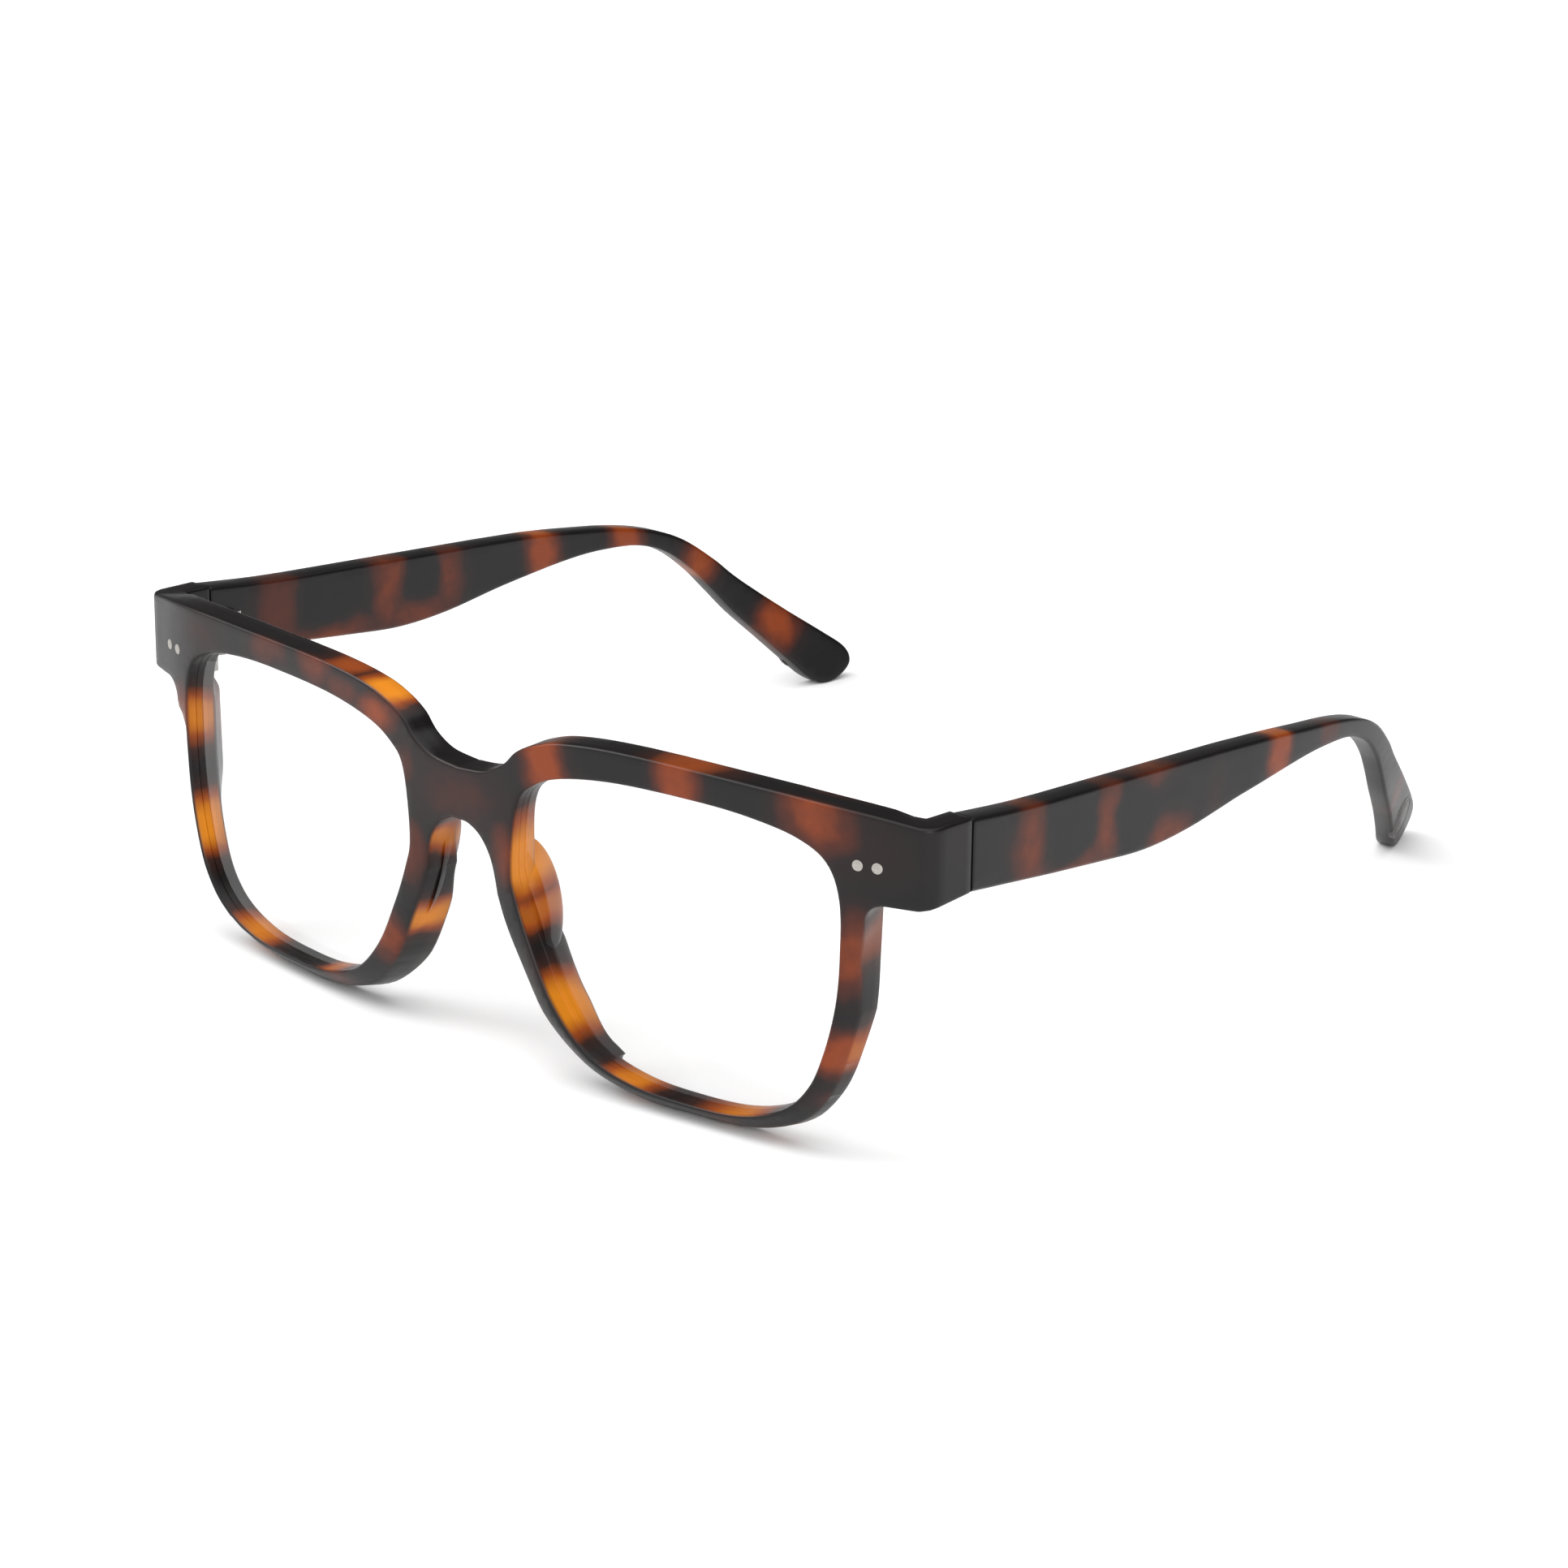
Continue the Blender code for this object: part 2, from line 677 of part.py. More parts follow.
# The temple seen from its side: share of its length behind the butt, and height in mm
TEMPLE_SHAPE = (
    (0.0, 22.9), (0.095, 21.5), (0.225, 20.2), (0.37, 18.9), (0.515, 17.4), (0.604, 16.1),
    (0.677, 14.8), (0.733, 13.1), (0.777, 10.7), (0.819, 6.9), (0.854, 3.0), (0.915, -2.9),
    (0.967, -7.7), (0.995, -10.6), (1.0, -13.0), (0.985, -14.9), (0.96, -15.9),
    (0.939, -14.7), (0.914, -11.5), (0.884, -7.6), (0.845, -2.7), (0.816, 1.5), (0.786, 5.6),
    (0.749, 9.2), (0.706, 11.3), (0.652, 12.0), (0.588, 11.9), (0.475, 10.6), (0.378, 9.1),
    (0.298, 8.8), (0.217, 9.8), (0.136, 11.0), (0.056, 12.3), (0.0, 13.2),
)


# Middle line of the temple in the same measures
TEMPLE_MIDDLE = (
    (-0.1, 18.2), (0.0, 18.0), (0.2, 15.2), (0.4, 14.0), (0.55, 14.2), (0.66, 13.3),
    (0.72, 12.1), (0.76, 9.9), (0.8, 6.2), (0.84, 1.3), (0.9, -5.5), (1.0, -13.5),
)


def temple_outline():
    points = [(TEMPLE_Y + s * TEMPLE_LENGTH, z * MM) for s, z in TEMPLE_SHAPE]
    loop = smooth_loop(points, 2, closed=False)
    spare = 2 * MM
    loop.append(Vector((TEMPLE_Y - spare, loop[-1].y)))
    loop.append(Vector((TEMPLE_Y - spare, loop[0].y)))
    return loop


def wire_point(share):
    """Middle of the temple at a share of its length, moved outwards for the hinge."""
    y = TEMPLE_Y + share * TEMPLE_LENGTH
    z = temple_middle(share)
    out = WIRE_OUTWARD * max(0, 1 - share * 3)
    return Vector((temple_x(y, z) + out, y, z))


def temple_middle(share):
    """Height of the middle line of the temple at a share of its length."""
    for (a, za), (b, zb) in zip(TEMPLE_MIDDLE, TEMPLE_MIDDLE[1:]):
        if share <= b:
            break
    return (za + (zb - za) * (share - a) / (b - a)) * MM


def tube(points, radius):
    """A round wire through the points, as a mesh."""
    curve = bpy.data.curves.new("wire", "CURVE")
    curve.dimensions = "3D"
    curve.bevel_depth = radius
    curve.bevel_resolution = 2
    curve.use_fill_caps = True
    spline = curve.splines.new("POLY")
    spline.points.add(len(points) - 1)
    for point, co in zip(spline.points, points):
        point.co = (*co, 1)
    return curve_mesh(curve)


def wire_route(first, last):
    """Points along the wire between two shares of the temple's length."""
    shares = [first + (last - first) * i / WIRE_STEPS for i in range(WIRE_STEPS + 1)]
    return smooth_loop([wire_point(share) for share in shares], 2, closed=False)


def make_wire():
    return tube(wire_route(0.004, WIRE_LENGTH / TEMPLE_LENGTH), WIRE_RADIUS)


def disc_place():
    """Matrix on the temple's outer face at the disc, with z pointing outwards."""
    y = TEMPLE_Y + DISC_SHARE * TEMPLE_LENGTH
    step = 1 * MM
    middle = temple_x(y, DISC_Z)
    along_y = (temple_x(y + step, DISC_Z) - temple_x(y - step, DISC_Z)) / (2 * step)
    along_z = (temple_x(y, DISC_Z + step) - temple_x(y, DISC_Z - step)) / (2 * step)
    out = Vector((1, -along_y, -along_z))
    face = middle + TEMPLE_THICK / 2 * temple_share(DISC_SHARE)
    turn = out.to_track_quat("Z", "Y").to_matrix().to_4x4()
    return Matrix.Translation((face, y, DISC_Z)) @ turn


def make_disc():
    """A thin disc with a broken edge, flush with the outside of the temple tip."""
    edge = DISC_THICK * 0.25
    profile = [
        (0, -DISC_THICK), (DISC_RADIUS - edge, -DISC_THICK), (DISC_RADIUS, edge - DISC_THICK),
        (DISC_RADIUS, -edge), (DISC_RADIUS - edge, 0), (0, 0),
    ]
    return turned(profile, disc_place(), 32)


def make_temple():
    mesh = plate([temple_outline()], TEMPLE_THICK, TEMPLE_EDGE)
    mesh.transform(Matrix(((0, 0, 1, 0), (1, 0, 0, 0), (0, 1, 0, 0), (0, 0, 0, 1))))
    cuts = []
    for i in range(1, TEMPLE_CUTS):
        cuts.append(((0, TEMPLE_Y + TEMPLE_LENGTH * i / TEMPLE_CUTS, 0), (0, 1, 0)))
    sliced(mesh, cuts)

    def place(co):
        share = min(max((co.y - TEMPLE_Y) / TEMPLE_LENGTH, 0), 1)
        middle = temple_x(max(co.y, TEMPLE_Y), co.z)
        return middle + co.x * temple_share(share), co.y, co.z

    reshaped(mesh, place)
    sliced(mesh, [((0, TEMPLE_Y, 0), (0, -1, 0))], keep=True)
    channel = tube(
        wire_route(-0.05, WIRE_LENGTH / TEMPLE_LENGTH + 0.006), WIRE_RADIUS + GAP
    )
    seat = disc_place()
    pocket = rod(DISC_RADIUS + GAP, 2 * (DISC_THICK + GAP), seat, 32)
    return edited(combined(mesh, [channel, anchor(GAP), pocket], "DIFFERENCE"), weld)


# Nose pads


def make_pad():
    """A crowned cushion behind the nose side of the rim, cut flat where it is bonded."""
    mesh = bpy.data.meshes.new("pad")
    bm = bmesh.new()
    turn = Matrix.Rotation(-PAD_FLARE, 4, "Z") @ Matrix.Rotation(-PAD_SLANT, 4, "Y")
    place = Matrix.Translation(PAD_CENTRE) @ turn @ Matrix.Diagonal((*PAD_HALF, 1))
    bmesh.ops.create_uvsphere(bm, u_segments=24, v_segments=14, radius=1, matrix=place)
    bm.to_mesh(mesh)
    bm.free()
    x = PAD_CENTRE[0]
    angle = front_angle(x)
    base = inward(x, FRONT_THICK + GAP)
    normal = (math.sin(angle), -math.cos(angle), 0)
    return sliced(mesh, [((base.x, base.y, 0), normal)], keep=True)


# Assembly


def empty(name, location, parent=None):
    obj = bpy.data.objects.new(name, None)
    obj.location = location
    obj.parent = parent
    bpy.data.collections["eyeglasses"].objects.link(obj)
    return obj


def assemble():
    acetate = material("tortoise_acetate", (0.07, 0.04, 0.035), 0.45)
    amber = material("amber_acetate", (0.3, 0.12, 0.03), 0.45)
    clear = material("lens_clear", (0.95, 0.97, 0.97), 0.05, transmission=1.0)
    steel = material("hinge_steel", (0.6, 0.6, 0.6), 0.35, metallic=1.0)
    silver = material("rivet_silver", (0.7, 0.68, 0.65), 0.4, metallic=1.0)

    stand = empty("stand", (0, 0, 0))
    part("front_frame", make_front(), acetate, stand)
    shapes = {
        "lens": (wrapped(lens_plate()), clear),
        "nose_pad": (make_pad(), amber),
        "hinge_front_leaf": (make_front_leaf(), steel),
        "hinge_screw": (make_screw(), steel),
        "rivet_inner": (make_rivet(rivet_places()[0]), silver),
        "rivet_outer": (make_rivet(rivet_places()[1]), silver),
    }
    moving = {
        "temple": (make_temple(), acetate),
        "hinge_temple_leaf": (make_temple_leaf(), steel),
        "core_wire": (make_wire(), steel),
        "tip_disc": (make_disc(), amber),
    }
    for side, sign in (("left", 1), ("right", -1)):
        pivot = empty("hinge_axis_" + side, (sign * HINGE_X, HINGE_Y, HINGE_Z), stand)
        bpy.context.view_layer.update()
        for group, parent in ((shapes, stand), (moving, pivot)):
            for name, (mesh, look) in group.items():
                copy = mesh.copy() if sign > 0 else mirrored(mesh)
                part(name + "_" + side, copy, look, parent)

    settle(stand)


def settle(stand):
    """Tips the frame back onto its rims and temple tips, centred over the origin."""
    rim_low = min(rim_outside(), key=lambda p: p.y)
    tip_low = min(TEMPLE_SHAPE, key=lambda p: p[1])
    rim_y = inward(rim_low.x, FRONT_THICK - FRONT_EDGE).y
    tip_y = TEMPLE_Y + tip_low[0] * TEMPLE_LENGTH
    stand.rotation_euler.x = -math.atan2(tip_low[1] * MM - rim_low.y, tip_y - rim_y)
    bpy.context.view_layer.update()
    points = []
    for obj in bpy.data.collections["eyeglasses"].objects:
        if obj.type == "MESH":
            points += [obj.matrix_world @ vertex.co for vertex in obj.data.vertices]
    depths = [point.y for point in points]
    stand.location.y = -(min(depths) + max(depths)) / 2
    stand.location.z = -min(point.z for point in points)


clear_scene()
assemble()
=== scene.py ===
# %% [markdown]
# # A pair of tortoise-acetate eyeglasses, with folding temples
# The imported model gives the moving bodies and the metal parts. This lesson builds the
# polished acetate, the lenses and the rivets around them, then their finishes.
# Everything is worked out in the front's own frame, in metres: x to the wearer's left,
# y from the front towards the ears, z up, with the lens centres at z = 0.

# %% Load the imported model
import json
import math

import bmesh
import bpy
from mathutils import Matrix, Vector
from mathutils.kdtree import KDTree


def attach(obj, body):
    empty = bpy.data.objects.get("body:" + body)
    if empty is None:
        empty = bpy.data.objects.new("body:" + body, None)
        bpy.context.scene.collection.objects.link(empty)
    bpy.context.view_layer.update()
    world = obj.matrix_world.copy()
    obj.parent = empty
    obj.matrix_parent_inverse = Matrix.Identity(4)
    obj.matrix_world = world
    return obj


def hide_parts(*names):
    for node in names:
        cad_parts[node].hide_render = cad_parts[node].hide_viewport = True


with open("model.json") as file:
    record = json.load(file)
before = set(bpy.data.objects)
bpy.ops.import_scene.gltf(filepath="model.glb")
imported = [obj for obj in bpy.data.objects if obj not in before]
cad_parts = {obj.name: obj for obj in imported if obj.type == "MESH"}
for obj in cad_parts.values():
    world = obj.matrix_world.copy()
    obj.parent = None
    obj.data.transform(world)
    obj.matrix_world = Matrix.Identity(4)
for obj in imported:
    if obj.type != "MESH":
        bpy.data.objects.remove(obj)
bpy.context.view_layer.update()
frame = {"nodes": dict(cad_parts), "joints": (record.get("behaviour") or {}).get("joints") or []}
MM = 0.001
SIDES = (("left", 1), ("right", -1))

# %% [markdown]
# ## Where the frame stands
# On a table the frame leans back on its rims and temple tips. The hinge axis was upright
# before it leaned, so the joint's axis gives the lean, and its place gives the shift.

# %% The frame's lean, from its hinge axis
LENS_WIDTH = 51.0 * MM
LENS_HEIGHT = 41.3 * MM
BRIDGE_GAP = 19.0 * MM
FRONT_THICK = 4.4 * MM
HINGE_OWN = Vector((66.529, 17.99, 16.2)) * MM

fold = frame["joints"][0]
lean = math.atan2(fold["axis"][1], fold["axis"][2])
tip_back = Matrix.Rotation(-lean, 4, "X")
shift = Vector(fold["pos_m"]) - tip_back @ HINGE_OWN
STAND = Matrix.Translation(shift) @ tip_back
print("lean in degrees:", round(math.degrees(lean), 2), "shift in mm:", shift / MM)

# %% [markdown]
# ## The curve of the front
# Seen from above, the front is an arc over the bridge, two flat rims and two turned
# ends, and then it goes round a corner into the short return that meets the temple.
# A plate is easiest to shape while it is flat, so each piece is made flat and this
# function then says where every point of the flat plate goes.

# %% Plan of the front
RIM_ANGLE = math.radians(7.0)
END_ANGLE = math.radians(20.0)
BRIDGE_ARC = 20.0 * MM
TURN_BEFORE_END = 4.5 * MM
TURN_LENGTH = 10.0 * MM
END_PIECE = 9.9 * MM
CORNER_RADIUS = 2.4 * MM
RETURN_LENGTH = 5.9 * MM
RETURN_THICK = 3.9 * MM
JOINT_GAP = 0.3 * MM
SPARE = 2 * MM
RIM_END_X = BRIDGE_GAP / 2 + LENS_WIDTH
LENS_X = BRIDGE_GAP / 2 + LENS_WIDTH / 2
TURN_X = RIM_END_X - TURN_BEFORE_END
STRAIGHT_X = TURN_X + TURN_LENGTH
CORNER_X = RIM_END_X + END_PIECE
CORNER_TURN = math.pi / 2 - END_ANGLE
CORNER_LENGTH = CORNER_RADIUS * CORNER_TURN
SIDE_X = CORNER_X + CORNER_RADIUS * (1 - math.sin(END_ANGLE))
INNER_X = SIDE_X - RETURN_THICK
TONGUE_END = CORNER_X + CORNER_LENGTH + RETURN_LENGTH


def front_slope(x):
    """Slope and depth of the front face at x, seen from above."""
    flat = math.tan(RIM_ANGLE)
    turned = math.tan(END_ANGLE) - flat
    if x < BRIDGE_ARC:
        return flat * x / BRIDGE_ARC, flat * x * x / (2 * BRIDGE_ARC)
    part = min(max(x - TURN_X, 0), TURN_LENGTH)
    depth = flat * (x - BRIDGE_ARC / 2) + turned * part * part / (2 * TURN_LENGTH)
    depth += turned * max(x - STRAIGHT_X, 0)
    return flat + turned * part / TURN_LENGTH, depth


def inward(x, depth):
    """The point that lies depth behind the front face at x, seen from above."""
    slope, y = front_slope(x)
    angle = math.atan(slope)
    return Vector((x - depth * math.sin(angle), y + depth * math.cos(angle)))


RETURN_START_Y = front_slope(CORNER_X)[1] + CORNER_RADIUS * math.cos(END_ANGLE)
BUTT_Y = RETURN_START_Y + RETURN_LENGTH
TEMPLE_Y = BUTT_Y + JOINT_GAP
back = inward(STRAIGHT_X, FRONT_THICK)
INNER_CORNER = Vector((INNER_X, back.y + (INNER_X - back.x) * math.tan(END_ANGLE)))
FLAT_STATIONS = 60
CORNER_STEPS = 8


def stations():
    """(flat x, outer point, inner point) along one half of the front, from above."""
    blend_x = CORNER_X - FRONT_THICK
    rows = []
    for i in range(FLAT_STATIONS):
        x = blend_x * i / (FLAT_STATIONS - 1)
        rows.append((x, inward(x, 0), inward(x, FRONT_THICK)))
    start = inward(blend_x, FRONT_THICK)
    centre = Vector((CORNER_X - CORNER_RADIUS * math.sin(END_ANGLE), RETURN_START_Y))
    for i in range(CORNER_STEPS + 1):
        angle = END_ANGLE + CORNER_TURN * i / CORNER_STEPS
        outer = centre + CORNER_RADIUS * Vector((math.sin(angle), -math.cos(angle)))
        along = CORNER_X + CORNER_LENGTH * i / CORNER_STEPS
        share = (along - blend_x) / (CORNER_X + CORNER_LENGTH - blend_x)
        rows.append((along, outer, start.lerp(INNER_CORNER, share)))
    ends = Vector((SIDE_X, BUTT_Y + SPARE)), Vector((INNER_X, BUTT_Y + SPARE))
    rows.append((TONGUE_END + SPARE, *ends))
    return rows


STATIONS = stations()


def bent(co):
    """Where a point of the flat front goes: x along the front, y up, z forwards."""
    flat = abs(co.x)
    for low, high in zip(STATIONS, STATIONS[1:]):
        if flat <= high[0]:
            break
    share = (flat - low[0]) / (high[0] - low[0])
    outer = low[1].lerp(high[1], share)
    inner = low[2].lerp(high[2], share)
    place = outer.lerp(inner, 0.5 - co.z / FRONT_THICK)
    return Vector((math.copysign(place.x, co.x), place.y, co.y))


print("width at the corners in mm:", round(2 * SIDE_X / MM, 1))

# %% [markdown]
# ## Outlines
# The rims, the bridge and the temples are cut from sheet along smooth lines. A handful
# of points on each line, joined by a Catmull-Rom curve, gives the same sweep as a
# draughtsman's spline, with few numbers to keep.

# %% Smooth lines through a few points


def smooth_loop(points, steps, closed=True):
    """A Catmull-Rom curve through the points."""
    count = len(points)
    made = []
    for i in range(count if closed else count - 1):
        picks = [i - 1, i, i + 1, i + 2]
        if closed:
            picks = [k % count for k in picks]
        else:
            picks = [min(max(k, 0), count - 1) for k in picks]
        a, b, c, d = (Vector(points[k]) for k in picks)
        for step in range(steps):
            t = step / steps
            made.append(
                0.5 * (2 * b + (c - a) * t + (2 * a - 5 * b + 4 * c - d) * t**2
                       + (3 * b - a - 3 * c + d) * t**3)
            )
    if not closed:
        made.append(Vector(points[-1]))
    return made


def offset(loop, width):
    """A clockwise loop moved outwards along its normals by width(index)."""
    made = []
    for i, point in enumerate(loop):
        along = (loop[(i + 1) % len(loop)] - loop[i - 1]).normalized()
        made.append(point + width(i) * Vector((-along.y, along.x)))
    return made


# The lens opening in shares of half its width and height, from the nose over the top
LENS_SHAPE = (
    (-1.0, 0.24), (-0.957, 0.678), (-0.855, 0.833), (-0.667, 0.93), (-0.314, 0.99),
    (0.196, 1.0), (0.51, 0.978), (0.757, 0.925), (0.918, 0.818), (0.992, 0.596),
    (1.0, 0.24), (0.98, -0.087), (0.918, -0.416), (0.831, -0.668), (0.675, -0.862),
    (0.412, -0.975), (0.078, -1.0), (-0.235, -0.973), (-0.51, -0.857), (-0.722, -0.596),
    (-0.871, -0.247), (-0.961, 0.024),
)
STEPS = 6
RIM_TOP = 4.1 * MM
RIM_SIDE = 3.5 * MM
RIM_BOTTOM = 2.6 * MM
RIM_NOSE = 3.9 * MM
BRIDGE_TOP = 16.9 * MM
BRIDGE_UNDER = 9.5 * MM
END_TOP = 23.4 * MM
CORNER_TOP = 23.3 * MM
RETURN_TOP = 23.1 * MM
END_BOTTOM = 12.5 * MM
CORNER_BOTTOM = 12.9 * MM
RETURN_BOTTOM = 13.2 * MM
BROW_SLOPE = 0.3 * MM
FILLET = 2.6 * MM


def opening(grow=0.0):
    """The lens opening of the +x rim, grown outwards by a distance."""
    points = [(LENS_X + u * LENS_WIDTH / 2, v * LENS_HEIGHT / 2) for u, v in LENS_SHAPE]
    return offset(smooth_loop(points, STEPS), lambda _: grow)


def rim_outside():
    """The rim's outer edge from the end piece round the bottom to the nose."""
    first, bottom, nose, last = 11 * STEPS, 16 * STEPS, 19 * STEPS, 21 * STEPS + STEPS // 2

    def width(i):
        if i < bottom:
            share = min(max((i - first) / (bottom - first), 0), 1)
            return RIM_SIDE + (RIM_BOTTOM - RIM_SIDE) * share
        share = min((i - bottom) / (nose - bottom), 1)
        return RIM_BOTTOM + (RIM_NOSE - RIM_BOTTOM) * share

    return offset(opening(), width)[first:last]


def front_outline():
    """Half of the front's outline, flattened, from the bridge's top to its underside."""
    top = LENS_HEIGHT / 2 + RIM_TOP
    nose_x = BRIDGE_GAP / 2
    rise = top - BRIDGE_TOP
    line = [
        (0.0, BRIDGE_TOP), (nose_x * 0.5, BRIDGE_TOP + rise * 0.07),
        (nose_x * 0.85, BRIDGE_TOP + rise * 0.27), (nose_x * 1.1, BRIDGE_TOP + rise * 0.56),
        (nose_x * 1.45, BRIDGE_TOP + rise * 0.77), (nose_x * 1.95, BRIDGE_TOP + rise * 0.92),
        (nose_x * 2.9, top), (LENS_X + LENS_WIDTH * 0.16, top), (RIM_END_X, top - BROW_SLOPE),
        (CORNER_X, END_TOP),
    ]
    outline = smooth_loop(line, STEPS, closed=False)
    end = TONGUE_END + 1 * MM
    corner_end = CORNER_X + CORNER_LENGTH
    outline += [
        Vector((corner_end, CORNER_TOP)), Vector((end, RETURN_TOP)),
        Vector((end, RETURN_BOTTOM)), Vector((corner_end, CORNER_BOTTOM)),
    ]
    rim = rim_outside()
    centre = Vector((rim[0].x + FILLET * 1.1, END_BOTTOM - FILLET))
    outline.append(Vector((CORNER_X, END_BOTTOM)))
    for i in range(CORNER_STEPS + 1):
        angle = math.pi / 2 + math.pi / 2 * i / CORNER_STEPS
        outline.append(centre + FILLET * Vector((math.cos(angle), math.sin(angle))))
    outline += rim[1:]
    under = [
        rim[-1], (nose_x * 0.57, BRIDGE_UNDER * 0.56), (nose_x * 0.4, BRIDGE_UNDER * 0.85),
        (nose_x * 0.18, BRIDGE_UNDER * 0.985), (0.0, BRIDGE_UNDER),
    ]
    return outline + smooth_loop(under, STEPS, closed=False)[1:]


def mirrored(loop):
    """The loop on the other side of the nose, still clockwise."""
    return [Vector((-p.x, p.y)) for p in reversed(loop)]


half = front_outline()
OUTSIDE = half + mirrored(half[1:-1])
OPENINGS = [opening(), mirrored(opening())]
print("points on the outline:", len(OUTSIDE), "and on each opening:", len(OPENINGS[0]))

# %% [markdown]
# ## A plate with rounded edges
# Acetate parts are milled from sheet and tumbled until their edges are round. The plate
# helper does the same: fill the outline, extrude it to the sheet's thickness, and bevel
# the edges. A box could be carved instead, but a filled outline keeps the curve exact.
# Slices then give the flat faces enough points to follow a curve or a crowned section.

# %% Helpers for plates
CUT = MM / 10000
CHAMFER = 0.15 * MM
WALL_SLOPE = 1.3


def everything(bm):
    return bm.verts[:] + bm.edges[:] + bm.faces[:]


def plate(loops, thick, edge, segments=4):
    """A flat plate in x and y from closed outlines, centred on z, with rounded edges."""
    bm = bmesh.new()
    edges = []
    for loop in loops:
        verts = [bm.verts.new((p[0], p[1], -thick / 2)) for p in loop]
        edges += [bm.edges.new(pair) for pair in zip(verts, verts[1:] + verts[:1])]
    bmesh.ops.triangle_fill(bm, use_beauty=True, edges=edges)
    bmesh.ops.dissolve_limit(
        bm, angle_limit=0.01, use_dissolve_boundaries=False, verts=bm.verts, edges=bm.edges
    )
    grown = bmesh.ops.extrude_face_region(bm, geom=bm.faces[:], use_keep_orig=True)
    new = [g for g in grown["geom"] if isinstance(g, bmesh.types.BMVert)]
    bmesh.ops.translate(bm, verts=new, vec=(0, 0, thick))
    bmesh.ops.recalc_face_normals(bm, faces=bm.faces)
    rims = [e for e in bm.edges if abs(e.verts[0].co.z - e.verts[1].co.z) < MM / 100
            and min(abs(f.normal.z) for f in e.link_faces) < 0.5]
    bmesh.ops.bevel(
        bm, geom=rims, offset=edge, affect="EDGES", segments=segments, profile=0.5,
        material=-1, clamp_overlap=True,
    )
    return bm


def slice_plate(bm, axis, places):
    """Cuts every face of the mesh along planes across one axis."""
    normal = Vector((0, 0, 0))
    normal[axis] = 1
    for place in places:
        bmesh.ops.bisect_plane(
            bm, geom=everything(bm), dist=CUT, plane_co=normal * place, plane_no=normal
        )


def spaced(low, high, pitch):
    """Evenly spaced places between two ends, about a pitch apart."""
    count = max(round((high - low) / pitch), 1)
    return [low + (high - low) * i / count for i in range(1, count)]


def sawn(bm, point, outwards):
    """Drops what lies past a plane, and closes the cut."""
    found = bmesh.ops.bisect_plane(
        bm, geom=everything(bm), dist=CUT, plane_co=point, plane_no=outwards,
        clear_outer=True,
    )
    rim = [g for g in found["geom_cut"] if isinstance(g, bmesh.types.BMEdge)]
    bmesh.ops.triangle_fill(bm, use_beauty=True, edges=rim)


def square_off(bm, y, outwards):
    """Saws the mesh across at y, closes the cut and breaks its edge."""
    sawn(bm, (0, y, 0), (0, outwards, 0))
    bmesh.ops.recalc_face_normals(bm, faces=bm.faces)
    rim = [e for e in bm.edges if all(abs(v.co.y - y) < MM / 1000 for v in e.verts)
           and any(abs(f.normal.y) < 0.9 for f in e.link_faces)]
    bmesh.ops.bevel(
        bm, geom=rim, offset=CHAMFER, affect="EDGES", segments=2, profile=0.5, material=-1
    )


def mark_walls(bm):
    """Writes the "wall" attribute: 1 on the sawn walls, 0 on the sheet's two faces."""
    bm.normal_update()
    wall = bm.verts.layers.float.new("wall")
    for vert in bm.verts:
        vert[wall] = 1 - min(abs(vert.normal.z) * WALL_SLOPE, 1)


def flipped(bm):
    """Mirrors the mesh to the wearer's right."""
    bmesh.ops.scale(bm, vec=(-1, 1, 1), verts=bm.verts)
    bmesh.ops.recalc_face_normals(bm, faces=bm.faces)


def add_piece(name, bm, body, nodes, sharp=38):
    """Stands the finished mesh in its place and hands it to the frame."""
    bmesh.ops.transform(bm, matrix=STAND, verts=bm.verts)
    bmesh.ops.triangulate(bm, faces=bm.faces)
    mesh = bpy.data.meshes.new(name)
    bm.to_mesh(mesh)
    bm.free()
    mesh.shade_smooth()
    mesh.set_sharp_from_angle(angle=math.radians(sharp))
    piece = bpy.data.objects.new(name, mesh)
    bpy.context.scene.collection.objects.link(piece)
    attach(piece, body)
    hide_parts(*nodes)
    print(name, "has", len(mesh.polygons), "triangles")
    return piece


# %% [markdown]
# ## The front
# One sheet makes both rims, the bridge and the turned ends. Its rims are crowned: the
# face falls away towards the outside at the cheek and below, and stays flat along the
# brow. A groove inside each opening holds the lens, and its lips show as two fine lines.
# How far a point lies across the rim decides how much it drops, so the distances to the
# opening and to the outside are looked up in two trees of points.

# %% Crown and lens groove
# Against the angle round the lens centre in degrees, in mm at the rim's outer edge:
# how far the face drops, how far the front edge leans in, and how much deeper the back is
CROWN = (
    (-180, 0.5), (-150, 1.0), (-125, 1.7), (-95, 2.0), (-60, 2.1), (-35, 2.3),
    (0, 2.4), (11, 1.5), (19, 0.0), (150, 0.0), (180, 0.5),
)
LEAN_IN = (
    (-180, 0.3), (-150, 0.7), (-120, 0.8), (-90, 0.5), (-50, 0.5), (-20, 0.8),
    (8, 0.8), (19, 0.0), (160, 0.0), (180, 0.3),
)
DEEPER = (
    (-180, 1.7), (-165, 2.9), (-145, 2.9), (-125, 1.7), (-108, 0.4), (-50, 0.0),
    (-20, 1.0), (0, 2.4), (20, 2.4), (27, 0.0), (150, 0.0), (168, 0.7), (180, 1.7),
)
END_PIECE_X = RIM_END_X + 4 * MM
END_PIECE_BLEND = 3 * MM
OUTER_SIDE = (-120, 60)
GROOVE_DEPTHS = (1.5, 2.5)
GROOVE_HALF = 0.07 * MM
GROOVE_CUT = 0.13 * MM
FRONT_EDGE = 0.45 * MM
FRONT_PITCH = 1.2 * MM


